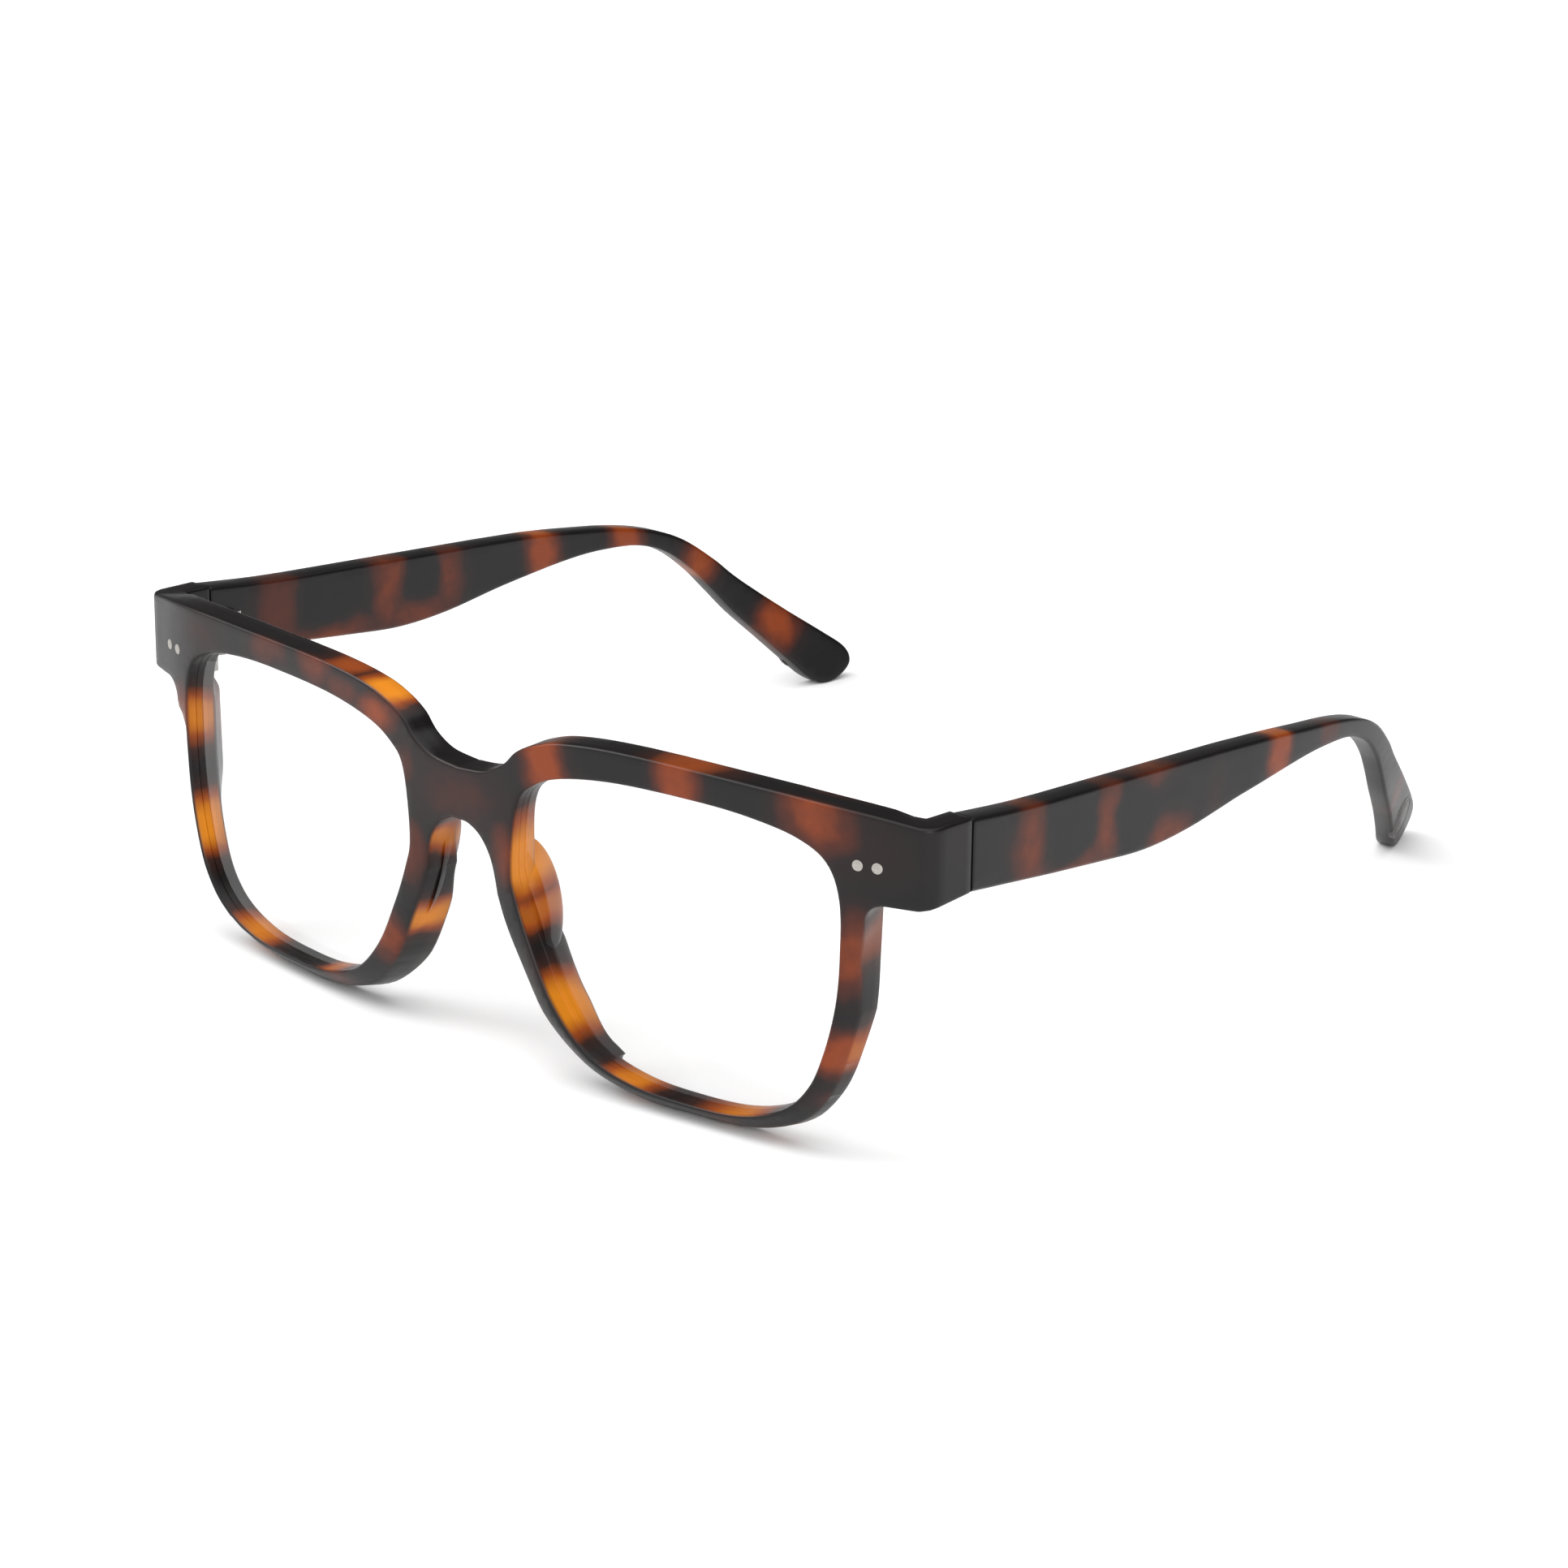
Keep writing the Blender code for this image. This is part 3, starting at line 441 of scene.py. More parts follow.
def tree_of(points):
    tree = KDTree(len(points))
    for i, point in enumerate(points):
        tree.insert((point.x, point.y, 0), i)
    tree.balance()
    return tree


def dense(loop):
    """The loop with points close enough to measure distances to it."""
    made = []
    for a, b in zip(loop, loop[1:] + loop[:1]):
        count = max(int((b - a).length / (0.05 * MM)), 1)
        made += [a.lerp(b, i / count) for i in range(count)]
    return made


opening_tree = tree_of([p for loop in OPENINGS for p in dense(loop)])
outside_tree = tree_of(dense(OUTSIDE))


def between(table, x):
    """The value at x in a table of (x, value) rows, eased from row to row."""
    for (a, va), (b, vb) in zip(table, table[1:]):
        if x <= b:
            break
    t = min(max((x - a) / (b - a), 0), 1)
    return va + (vb - va) * t * t * (3 - 2 * t)


def crowned(co):
    """A point of the flat front after its rims are crowned."""
    flat = Vector((co.x, co.y, 0))
    spot, _, near = opening_tree.find(flat)
    far = outside_tree.find(flat)[2]
    share = near / max(near + far, MM / 1000)
    around = math.degrees(math.atan2(co.y, abs(co.x) - LENS_X))
    front_share = 0.5 + co.z / FRONT_THICK
    drop = share * share * (2 - share) * front_share
    lean = share * share * front_share
    deep = (1 - front_share) * MM
    if abs(co.x) > END_PIECE_X:
        drop = lean = 0
    deep *= min(max((END_PIECE_X + END_PIECE_BLEND - abs(co.x)) / END_PIECE_BLEND, 0), 1)
    outwards = (flat - spot).normalized() if near > MM / 1000 else Vector((0, 0, 0))
    if OUTER_SIDE[0] < around < OUTER_SIDE[1]:
        deep *= share
    down = between(CROWN, around) * MM * drop + between(DEEPER, around) * deep
    return co - Vector((0, 0, down)) - outwards * between(LEAN_IN, around) * MM * lean


bm = plate([OUTSIDE] + OPENINGS, FRONT_THICK, FRONT_EDGE)
slice_plate(bm, 0, spaced(-TONGUE_END, TONGUE_END, FRONT_PITCH))
slice_plate(
    bm, 1, spaced(-LENS_HEIGHT / 2 - 2 * MM, LENS_HEIGHT / 2 + 4 * MM, FRONT_PITCH)
)
middles = [FRONT_THICK / 2 - depth * MM for depth in GROOVE_DEPTHS]
for middle in middles:
    slice_plate(bm, 2, [middle - GROOVE_HALF, middle, middle + GROOVE_HALF])
print("faces on the sliced plate:", len(bm.faces))

# %% Shape the front
mark_walls(bm)
moves = {}
for vert in bm.verts:
    flat = Vector((vert.co.x, vert.co.y, 0))
    spot, _, gap = opening_tree.find(flat)
    co = vert.co.copy()
    if gap < 0.15 * MM and any(abs(co.z - m) < MM / 1000 for m in middles):
        co -= Vector((vert.normal.x, vert.normal.y, 0)).normalized() * GROOVE_CUT
    moves[vert] = crowned(co)
for vert, co in moves.items():
    vert.co = bent(co)
square_off(bm, BUTT_Y, 1)
front = add_piece("front_acetate", bm, "front", ["front_frame"])

# %% [markdown]
# ## The temples
# Each temple is sawn from the same sheet along its side outline and bent in towards the
# tip over a warm former. Its thickness runs along x, so the flat plate is turned on edge
# first, and each point then moves in by the curve of the bow.

# %% Shape of a temple
TEMPLE_THICK = 3.8 * MM
TIP_THICK = 3.2 * MM
TEMPLE_LENGTH = 122.0 * MM
TEMPLE_EDGE = 0.6 * MM
TEMPLE_PITCH = 1.6 * MM
TEMPLE_TAPER = 0.0175
EAR_START = 57.0 * MM
EAR_SLANT = 0.8
EAR_DROP = 0.6
EAR_FROM = 46.0 * MM
EAR_BEND = 3.1
# Side outline: share of the length behind the butt, and height in mm
TEMPLE_SHAPE = (
    (0.0, 22.9), (0.095, 21.5), (0.225, 20.2), (0.37, 18.9), (0.515, 17.4), (0.604, 16.1),
    (0.677, 14.8), (0.733, 13.1), (0.777, 10.7), (0.819, 6.9), (0.854, 3.0), (0.915, -2.9),
    (0.967, -7.7), (0.995, -10.6), (1.0, -13.0), (0.985, -14.9), (0.96, -15.9),
    (0.939, -14.7), (0.914, -11.5), (0.884, -7.6), (0.845, -2.7), (0.816, 1.5), (0.786, 5.6),
    (0.749, 9.2), (0.706, 11.3), (0.652, 12.0), (0.588, 11.9), (0.475, 10.6), (0.378, 9.1),
    (0.298, 8.8), (0.217, 9.8), (0.136, 11.0), (0.056, 12.3), (0.0, 13.2),
)


def temple_x(y, z):
    """Middle of the temple's thickness: straight, then curving in towards the tip."""
    straight = min(y - TEMPLE_Y, EAR_START)
    bend = max(EAR_SLANT * (y - TEMPLE_Y) - EAR_DROP * (z - HINGE_OWN.z) - EAR_FROM, 0)
    return SIDE_X - TEMPLE_THICK / 2 - TEMPLE_TAPER * straight - EAR_BEND * bend * bend


def temple_share(y):
    """How much of the full thickness is left at a place along the temple."""
    share = min(max((y - TEMPLE_Y) / TEMPLE_LENGTH, 0), 1)
    return 1 - (1 - TIP_THICK / TEMPLE_THICK) * share


def temple_mesh(sign):
    points = [(TEMPLE_Y + s * TEMPLE_LENGTH, z * MM) for s, z in TEMPLE_SHAPE]
    loop = smooth_loop(points, STEPS, closed=False)
    loop.append(Vector((TEMPLE_Y - SPARE, loop[-1].y)))
    loop.append(Vector((TEMPLE_Y - SPARE, loop[0].y)))
    bm = plate([loop], TEMPLE_THICK, TEMPLE_EDGE)
    slice_plate(bm, 0, spaced(TEMPLE_Y - MM, TEMPLE_Y + TEMPLE_LENGTH, TEMPLE_PITCH))
    slice_plate(bm, 1, spaced(-16 * MM, 23 * MM, TEMPLE_PITCH))
    mark_walls(bm)
    for vert in bm.verts:
        y, z = vert.co.x, vert.co.y
        out = vert.co.z * temple_share(y)
        vert.co = sign * (temple_x(max(y, TEMPLE_Y), z) + out), y, z
    bmesh.ops.recalc_face_normals(bm, faces=bm.faces)
    square_off(bm, TEMPLE_Y, -1)
    return bm


temples = {}
for side, sign in SIDES:
    temples[side] = add_piece(
        "temple_acetate_" + side, temple_mesh(sign), f"temple_{side}_body",
        ["temple_" + side],
    )

# %% [markdown]
# ## The lenses
# A lens is a thin plate with a bevelled edge that snaps into the rim's groove. It is
# made flat from the opening's own outline, grown by the depth of the groove, and bent
# with the rim, so that it always fits.

# %% Lenses
LENS_THICK = 1.8 * MM
LENS_BEVEL = 0.8 * MM
LENS_DEPTH = 2.3 * MM


def lens_mesh(sign):
    loop = opening(LENS_BEVEL)
    if sign < 0:
        loop = mirrored(loop)
    bm = plate([loop], LENS_THICK, LENS_BEVEL, 1)
    slice_plate(bm, 0, [sign * x for x in spaced(8 * MM, 62 * MM, 2 * MM)])
    bmesh.ops.translate(bm, verts=bm.verts, vec=(0, 0, FRONT_THICK / 2 - LENS_DEPTH))
    for vert in bm.verts:
        vert.co = bent(vert.co)
    return bm


lenses = {}
for side, sign in SIDES:
    lenses[side] = add_piece(
        "lens_clear_" + side, lens_mesh(sign), "front", ["lens_" + side]
    )

# %% [markdown]
# ## The nose pads
# The pads of an acetate frame are built up from the same material behind the nose side
# of each rim, and polished into it. A ball squeezed into a long cushion has the right
# crown; its front part is sawn off inside the rim, so that the two surfaces meet.

# %% Nose pads
PAD_HALF = Vector((2.1, 4.1, 8.6)) * MM
PAD_CENTRE = Vector((9.1, 4.7, -0.6)) * MM
PAD_SLANT = math.radians(21.0)
PAD_FLARE = math.radians(24.0)
PAD_ROOT = 1.2 * MM
PAD_SLIM = 0.18


def pad_mesh(sign):
    bm = bmesh.new()
    turn = Matrix.Rotation(-PAD_FLARE, 4, "Z") @ Matrix.Rotation(-PAD_SLANT, 4, "Y")
    place = Matrix.Translation(PAD_CENTRE) @ turn
    bmesh.ops.create_uvsphere(bm, u_segments=64, v_segments=40, radius=1)
    for vert in bm.verts:
        slim = 1 - PAD_SLIM * vert.co.z
        vert.co = place @ Vector((
            vert.co.x * PAD_HALF.x * slim, vert.co.y * PAD_HALF.y, vert.co.z * PAD_HALF.z
        ))
    base = inward(PAD_CENTRE.x, FRONT_THICK - PAD_ROOT)
    slope = math.atan(front_slope(PAD_CENTRE.x)[0])
    sawn(bm, (base.x, base.y, 0), (math.sin(slope), -math.cos(slope), 0))
    # The whole pad takes the wall tones, the painted glow of light through the acetate.
    wall = bm.verts.layers.float.new("wall")
    for vert in bm.verts:
        vert[wall] = 1
        vert.co.x *= sign
    bmesh.ops.recalc_face_normals(bm, faces=bm.faces)
    return bm


pads = {}
for side, sign in SIDES:
    pads[side] = add_piece(
        "nose_cushion_" + side, pad_mesh(sign), "front",
        ["nose_pad_" + side],
    )

# %% [markdown]
# ## Turned pieces: rivets and tip discs
# Round metal parts come off a lathe, so each one is a profile of a few points, spun about
# its axis. A rivet has a slightly domed head on the front, a shank through the end piece
# and a spread tail behind the hinge leaf. The disc let into each temple tip has a plain
# turned ring and nothing else on it.

# %% Spinning a profile


def turned(bm, profile, place, steps):
    """Spins (radius, height) points about z and puts the result in its place."""
    verts = [bm.verts.new((r, 0, z)) for r, z in profile]
    edges = [bm.edges.new(pair) for pair in zip(verts, verts[1:])]
    bmesh.ops.spin(
        bm, geom=verts + edges, cent=(0, 0, 0), axis=(0, 0, 1), angle=2 * math.pi,
        steps=steps, use_merge=True,
    )
    bmesh.ops.remove_doubles(bm, verts=bm.verts, dist=MM / 1000)
    bmesh.ops.transform(bm, matrix=place, verts=bm.verts)
    bmesh.ops.recalc_face_normals(bm, faces=bm.faces)


# %% Rivets
HEAD_RADIUS = 0.72 * MM
HEAD_PROUD = 0.1 * MM
HEAD_DEPTH = 0.7 * MM
SHANK_RADIUS = 0.45 * MM
RIVET_Z = 17.45 * MM
RIVET_FROM_CORNER = 7.6 * MM
RIVET_PITCH = 2.5 * MM
GRIP = FRONT_THICK + 1.5 * MM


def rivet_mesh(which, sign):
    x = CORNER_X - RIVET_FROM_CORNER + which * RIVET_PITCH
    angle = math.atan(front_slope(x)[0])
    turn = Matrix.Rotation(angle, 4, "Z") @ Matrix.Rotation(-math.pi / 2, 4, "X")
    y = front_slope(x)[1]
    place = Matrix.Translation((x, y, RIVET_Z)) @ turn
    dome = [
        (HEAD_RADIUS * math.sin(t), -HEAD_PROUD * math.cos(t))
        for t in (math.pi / 2 * i / 5 for i in range(6))
    ]
    profile = dome + [
        (HEAD_RADIUS, HEAD_DEPTH), (SHANK_RADIUS, HEAD_DEPTH), (SHANK_RADIUS, GRIP),
        (0.9 * MM, GRIP), (0.86 * MM, GRIP + 0.15 * MM), (0.6 * MM, GRIP + 0.33 * MM),
        (0, GRIP + 0.38 * MM),
    ]
    bm = bmesh.new()
    turned(bm, profile, place, 32)
    if sign < 0:
        flipped(bm)
    return bm


rivets = []
for side, sign in SIDES:
    for which, name in enumerate(("inner", "outer")):
        rivets.append(add_piece(
            f"rivet_head_{name}_{side}", rivet_mesh(which, sign), "front",
            [f"rivet_{name}_{side}"],
        ))

# %% Tip discs
DISC_RADIUS = 3.4 * MM
DISC_THICK = 0.6 * MM
DISC_BACK = 114.9 * MM
DISC_Z = -10.3 * MM


def disc_mesh(sign):
    y = TEMPLE_Y + DISC_BACK
    step = 1 * MM
    along_y = (temple_x(y + step, DISC_Z) - temple_x(y - step, DISC_Z)) / (2 * step)
    along_z = (temple_x(y, DISC_Z + step) - temple_x(y, DISC_Z - step)) / (2 * step)
    out = Vector((1, -along_y, -along_z))
    face = temple_x(y, DISC_Z) + TEMPLE_THICK / 2 * temple_share(y)
    turn = out.to_track_quat("Z", "Y").to_matrix().to_4x4()
    place = Matrix.Translation((face, y, DISC_Z)) @ turn
    r = DISC_RADIUS
    ring = [(r * 0.76, 0.05 * MM), (r * 0.79, -0.03 * MM), (r * 0.83, -0.03 * MM),
            (r * 0.86, 0.05 * MM)]
    profile = [
        (0, 0.06 * MM), *ring, (r - 0.12 * MM, 0.05 * MM), (r, -0.05 * MM),
        (r, -DISC_THICK), (0, -DISC_THICK),
    ]
    bm = bmesh.new()
    turned(bm, profile, place, 64)
    if sign < 0:
        flipped(bm)
    return bm


discs = {}
for side, sign in SIDES:
    discs[side] = add_piece(
        "tip_emblem_" + side, disc_mesh(sign), f"temple_{side}_body",
        ["tip_disc_" + side],
    )

# %% [markdown]
# ## Node helpers
# Every finish is a small tree of shader nodes. Two helpers keep the trees short: one adds
# a node with its settings, the other starts a node group with named inputs and outputs.

# %% Node helpers


def linear(code):
    """A colour code as the linear values that a shader takes."""
    parts = [int(code[i:i + 2], 16) / 255 for i in (0, 2, 4)]
    return (*((c / 12.92 if c < 0.04045 else ((c + 0.055) / 1.055) ** 2.4) for c in parts), 1)


def add(tree, kind, inputs=None, **settings):
    """A new node; inputs are values, or sockets to link from."""
    node = tree.nodes.new("ShaderNode" + kind)
    for key, value in settings.items():
        setattr(node, key, value)
    for key, value in (inputs or {}).items():
        socket = node.inputs[key]
        if isinstance(value, bpy.types.NodeSocket):
            tree.links.new(value, socket)
        else:
            socket.default_value = value
    return node


def new_group(name, inputs, outputs):
    """An empty shader node group with its sockets: (name, kind, default) for inputs."""
    tree = bpy.data.node_groups.new(name, "ShaderNodeTree")
    for label, kind, default in inputs:
        socket = tree.interface.new_socket(name=label, in_out="INPUT", socket_type=kind)
        if default is not None:
            socket.default_value = default
    for label, kind in outputs:
        tree.interface.new_socket(name=label, in_out="OUTPUT", socket_type=kind)
    return tree, tree.nodes.new("NodeGroupInput"), tree.nodes.new("NodeGroupOutput")


def use(tree, group, inputs=None):
    """A node group placed in a tree, with its own values."""
    node = tree.nodes.new("ShaderNodeGroup")
    node.node_tree = group
    for key, value in (inputs or {}).items():
        if isinstance(value, bpy.types.NodeSocket):
            tree.links.new(value, node.inputs[key])
        else:
            node.inputs[key].default_value = value
    return node


def ramp(tree, factor, stops):
    """A colour ramp from (place, colour code) stops."""
    node = add(tree, "ValToRGB", {"Fac": factor})
    steps = node.color_ramp.elements
    while len(steps) < len(stops):
        steps.new(0.5)
    for step, (place, code) in zip(steps, stops):
        step.position = place
        step.color = linear(code)
    return node.outputs["Color"]


def new_material(name):
    made = bpy.data.materials.new(name)
    made.use_nodes = True
    return made, made.node_tree, made.node_tree.nodes["Principled BSDF"]


# %% [markdown]
# ## Tortoise acetate
# Havana or tortoise sheet is pressed from cut blocks of dark and amber acetate, so soft
# cloudy patches run right through it. A solid pattern on object coordinates does the
# same. Three groups make it: one turns the coordinates into the front's own frame in
# millimetres, one stirs them with noise, and one lays down a single soft patch. The
# patches are listed one by one, because each sheet has its own.

# %% Groups for the acetate pattern
own, _, out = new_group("frame_place", [], [("Place", "NodeSocketVector")])
back_again = STAND.inverted()
coords = add(own, "TexCoord")
mapped = add(own, "Mapping", {
    "Vector": coords.outputs["Object"],
    "Location": back_again.translation / MM,
    "Rotation": back_again.to_euler(),
    "Scale": (1 / MM, 1 / MM, 1 / MM),
})
own.links.new(mapped.outputs["Vector"], out.inputs["Place"])

stir, given, out = new_group(
    "stirred_place",
    [("Place", "NodeSocketVector", None), ("Swirl Size", "NodeSocketFloat", 8.0),
     ("Amount", "NodeSocketFloat", 3.0)],
    [("Place", "NodeSocketVector")],
)
scale = add(stir, "Math", {0: 1.0, 1: given.outputs["Swirl Size"]}, operation="DIVIDE")
noise = add(stir, "TexNoise", {
    "Vector": given.outputs["Place"], "Scale": scale.outputs[0], "Detail": 1.0,
})
centred = add(stir, "VectorMath", {0: noise.outputs["Color"], 1: (0.5, 0.5, 0.5)},
              operation="SUBTRACT")
pushed = add(stir, "VectorMath", {0: centred.outputs[0], "Scale": given.outputs["Amount"]},
             operation="SCALE")
moved = add(stir, "VectorMath", {0: given.outputs["Place"], 1: pushed.outputs[0]},
            operation="ADD")
stir.links.new(moved.outputs[0], out.inputs["Place"])

patch, given, out = new_group(
    "soft_patch",
    [("Place", "NodeSocketVector", None), ("Centre", "NodeSocketVector", None),
     ("Half Size", "NodeSocketVector", (3.0, 3.0, 3.0)), ("Strength", "NodeSocketFloat", 1.0)],
    [("Mask", "NodeSocketFloat")],
)
apart = add(patch, "VectorMath", {0: given.outputs["Place"], 1: given.outputs["Centre"]},
            operation="SUBTRACT")
shares = add(patch, "VectorMath", {0: apart.outputs[0], 1: given.outputs["Half Size"]},
             operation="DIVIDE")
far = add(patch, "VectorMath", {0: shares.outputs[0]}, operation="LENGTH")
soft = add(patch, "MapRange", {
    "Value": far.outputs["Value"], "From Min": 1.75, "From Max": 0.15,
}, interpolation_type="SMOOTHSTEP")
weak = add(patch, "Math", {0: soft.outputs["Result"], 1: given.outputs["Strength"]},
           operation="MULTIPLY")
patch.links.new(weak.outputs[0], out.inputs["Mask"])
print("pattern groups:", [g.name for g in bpy.data.node_groups])

# %% [markdown]
# Polished acetate has a satin gloss that is never quite even: handling leaves faint
# cloudy wear and hair-fine scratches. One more group gives every acetate piece its
# roughness and a tiny height for the bump, and the metal uses it too.

# %% Group for handling wear
wear, given, out = new_group(
    "handling_wear",
    [("Roughness", "NodeSocketFloat", 0.35), ("Spread", "NodeSocketFloat", 0.08),
     ("Grain Size", "NodeSocketFloat", 0.25)],
    [("Roughness", "NodeSocketFloat"), ("Height", "NodeSocketFloat")],
)
spot = use(wear, own).outputs["Place"]
cloud = add(wear, "TexNoise", {"Vector": spot, "Scale": 0.22, "Detail": 3.0})
hair = add(wear, "VectorMath", {0: spot, 1: (0.5, 0.35, 3.0)}, operation="MULTIPLY")
lines = add(wear, "TexNoise", {"Vector": hair.outputs[0], "Scale": 1.4, "Detail": 4.0})
both = add(wear, "Math", {0: cloud.outputs["Fac"], 1: lines.outputs["Fac"]}, operation="ADD")
around = add(wear, "Math", {0: both.outputs[0], 1: 1.0}, operation="SUBTRACT")
rough = add(wear, "Math", {
    0: around.outputs[0], 1: given.outputs["Spread"], 2: given.outputs["Roughness"],
}, operation="MULTIPLY_ADD")
grain_scale = add(wear, "Math", {0: 1.0, 1: given.outputs["Grain Size"]}, operation="DIVIDE")
grain = add(wear, "TexNoise", {
    "Vector": spot, "Scale": grain_scale.outputs[0], "Detail": 2.0,
})
wear.links.new(rough.outputs[0], out.inputs["Roughness"])
wear.links.new(grain.outputs["Fac"], out.inputs["Height"])

# %% [markdown]
# The faces of the sheet look charcoal with brown clouds, because light that enters them
# is lost in the thickness. The sawn walls of the openings are lit through from behind,
# so the same patches glow amber there; that glow is painted into the walls' colour. The
# piece's own wall attribute, written while the plate was flat, tells the two apart. The
# temples' walls get a darker painted glow than the front's, because the metal core stops the
# light.

# %% The acetate material
# The wall tones are painted glow: the light let through the acetate, painted into the walls'
# colour.
FACE_TONES = ((0.0, "0d0c0e"), (0.3, "1c0f0f"), (0.62, "4a1c0c"), (0.95, "7c330c"))
WALL_GLOW_TONES = ((0.0, "090505"), (0.3, "2a0f06"), (0.62, "8a3d08"), (0.95, "d07c12"))
TEMPLE_WALL_GLOW_TONES = ((0.0, "060404"), (0.3, "140806"), (0.62, "401b08"), (0.95, "8a4410"))
ACETATE_IOR = 1.42
ACETATE_GLOSS = 0.38


def patches(tree, place, rows):
    """The strongest of the soft patches; each row is centre, half size, strength."""
    total = None
    for centre, size, strength in rows:
        mask = use(tree, patch, {
            "Place": place, "Centre": centre, "Half Size": size, "Strength": strength,
        }).outputs["Mask"]
        if total is None:
            total = mask
        else:
            total = add(tree, "Math", {0: total, 1: mask}, operation="MAXIMUM").outputs[0]
    return total


def tortoise(name, keep, faces, darks, walls, wall_glow_tones):
    """Acetate whose clouds ignore one direction, given by a zero in keep."""
    made, tree, shader = new_material(name)
    place = use(tree, own).outputs["Place"]
    stirred = use(tree, stir, {"Place": place, "Swirl Size": 9.0, "Amount": 4.0})
    stirred = use(tree, stir, {
        "Place": stirred.outputs["Place"], "Swirl Size": 2.2, "Amount": 0.9,
    })
    flat = add(tree, "VectorMath", {0: stirred.outputs["Place"], 1: keep},
               operation="MULTIPLY").outputs[0]
    bright = patches(tree, flat, faces)
    if darks:
        dark = patches(tree, flat, darks)
        bright = add(tree, "Math", {0: bright, 1: dark}, operation="SUBTRACT",
                     use_clamp=True).outputs[0]
    fine = add(tree, "TexNoise", {"Vector": place, "Scale": 0.4, "Detail": 2.0}).outputs["Fac"]
    ripple = add(tree, "MapRange", {
        "Value": fine, "From Min": 0.3, "From Max": 0.7, "To Min": 0.9, "To Max": 1.06,
    }).outputs["Result"]
    bright = add(tree, "Math", {0: bright, 1: ripple}, operation="MULTIPLY").outputs[0]
    on_face = ramp(tree, bright, FACE_TONES)
    painted_wall_glow = ramp(tree, patches(tree, flat, walls) if walls else bright, wall_glow_tones)
    edge = add(tree, "Attribute", attribute_name="wall").outputs["Fac"]
    mix = tree.nodes.new("ShaderNodeMix")
    mix.data_type = "RGBA"
    tree.links.new(edge, mix.inputs[0])
    tree.links.new(on_face, mix.inputs[6])
    tree.links.new(painted_wall_glow, mix.inputs[7])
    tree.links.new(mix.outputs[2], shader.inputs["Base Color"])
    worn = use(tree, wear, {"Roughness": 0.34, "Spread": 0.1, "Grain Size": 0.3})
    tree.links.new(worn.outputs["Roughness"], shader.inputs["Roughness"])
    bump = add(tree, "Bump", {
        "Height": worn.outputs["Height"], "Strength": 0.04, "Distance": 0.0001,
    })
    tree.links.new(bump.outputs["Normal"], shader.inputs["Normal"])
    shader.inputs["IOR"].default_value = ACETATE_IOR
    shader.inputs["Specular IOR Level"].default_value = ACETATE_GLOSS
    return made


# %% Clouds in the front, in mm
def cloud(x, z, rx, rz, strength=1.0):
    return (x, 0, z), (rx, 1, rz), strength


FRONT_FACES = [
    cloud(-16, 20.5, 4.5, 3, 0.95), cloud(-23, 22, 5, 2.6, 0.6), cloud(-29, 24, 4, 3, 0.7),
    cloud(-40, 23, 5, 3, 0.6), cloud(-10, 15, 3, 3.5, 0.5), cloud(15.5, 21, 4, 6, 1.05),
    cloud(36.5, 22, 4, 5.5, 0.95), cloud(57, 23, 6, 6, 0.85), cloud(8.4, 7, 2.6, 5, 0.7),
    cloud(62.5, 5.5, 3.5, 6, 0.85), cloud(60.5, -9, 3.6, 4, 1.1), cloud(59, -16, 3, 2.4, 0.5),
    cloud(-14, -11, 3, 5, 0.8), cloud(-26.5, -20.4, 4, 3, 0.5), cloud(0, 13, 10, 6, 0.42),
    cloud(-9, 3, 2.8, 5, 0.6), cloud(-62, 8, 2.8, 5, 0.75), cloud(-61, -8, 2.5, 4, 0.4),
    cloud(43, -22, 4, 2, 0.4), cloud(13, -8, 2.5, 5, 0.3), cloud(-56, 21, 6, 4, 0.35),
    cloud(62, 20, 8, 5, 0.3),
]
FRONT_WALLS = [
    cloud(9, 6, 4, 6.5), cloud(11.5, -1, 2.5, 2.5, 0.7), cloud(17, -12.5, 4.5, 5),
    cloud(28.5, -20.3, 4.5, 3, 0.85), cloud(46, -20.6, 7, 2.5, 0.8),
    cloud(60, -8, 3, 4, 0.7), cloud(62, 7, 3, 4, 0.5), cloud(-59, -8, 4, 5),
    cloud(-60.5, 8, 2.5, 4.5, 0.85), cloud(-46, -20.4, 5, 3, 0.85),
    cloud(-28, -20.2, 3, 2, 0.7), cloud(-15.5, 24, 5, 2.5), cloud(-24, 24.5, 4, 2, 0.6),
    cloud(-5.5, 4.8, 2.6, 3, 0.8), cloud(-9.5, -7.5, 3, 4, 0.9), cloud(37, 24.5, 6, 1.5, 0.55),
    cloud(17, 22, 3, 2, 0.6),
]
front_tortoise = tortoise(
    "tortoise_front", (1, 0, 1), FRONT_FACES, [], FRONT_WALLS, WALL_GLOW_TONES
)
front.data.materials.append(front_tortoise)
for side in pads:
    pads[side].data.materials.append(front_tortoise)


# %% Clouds in the temples, in mm
def band(y, z, ry, rz, strength=1.0):
    return (0, y, z), (1, ry, rz), strength


LEFT_BANDS = [
    band(30, 17, 4, 9, 0.72), band(38, 10, 9, 3.6, 0.8), band(46.5, 15, 4, 9, 0.72),
    band(56, 20, 6, 3.6, 0.68), band(59, 9.5, 6.5, 3.4, 0.72), band(84.4, 15, 3, 7, 1.05),
    band(98, 14, 3, 4, 0.5), band(70, 12, 2.5, 5, 0.35), band(127, -4, 3, 4, 0.5),
]
LEFT_DARKS = [band(38.3, 16.7, 4.4, 4.4, 0.8), band(52, 14, 3.4, 4.4, 0.7)]
RIGHT_BANDS = [
    band(31, 16, 4.5, 9, 0.62), band(40, 10.5, 11, 4, 0.74), band(52, 16, 4.5, 9, 0.74),
    band(64.5, 15, 4, 7, 0.66), band(58, 10, 8, 3.6, 0.7), band(84, 15, 3.6, 7, 1.0),
    band(101, 12.8, 3.6, 5, 1.0), band(114.8, 7.2, 4, 3.6, 0.95),
    band(128, -5.5, 4, 4.6, 0.95),
]
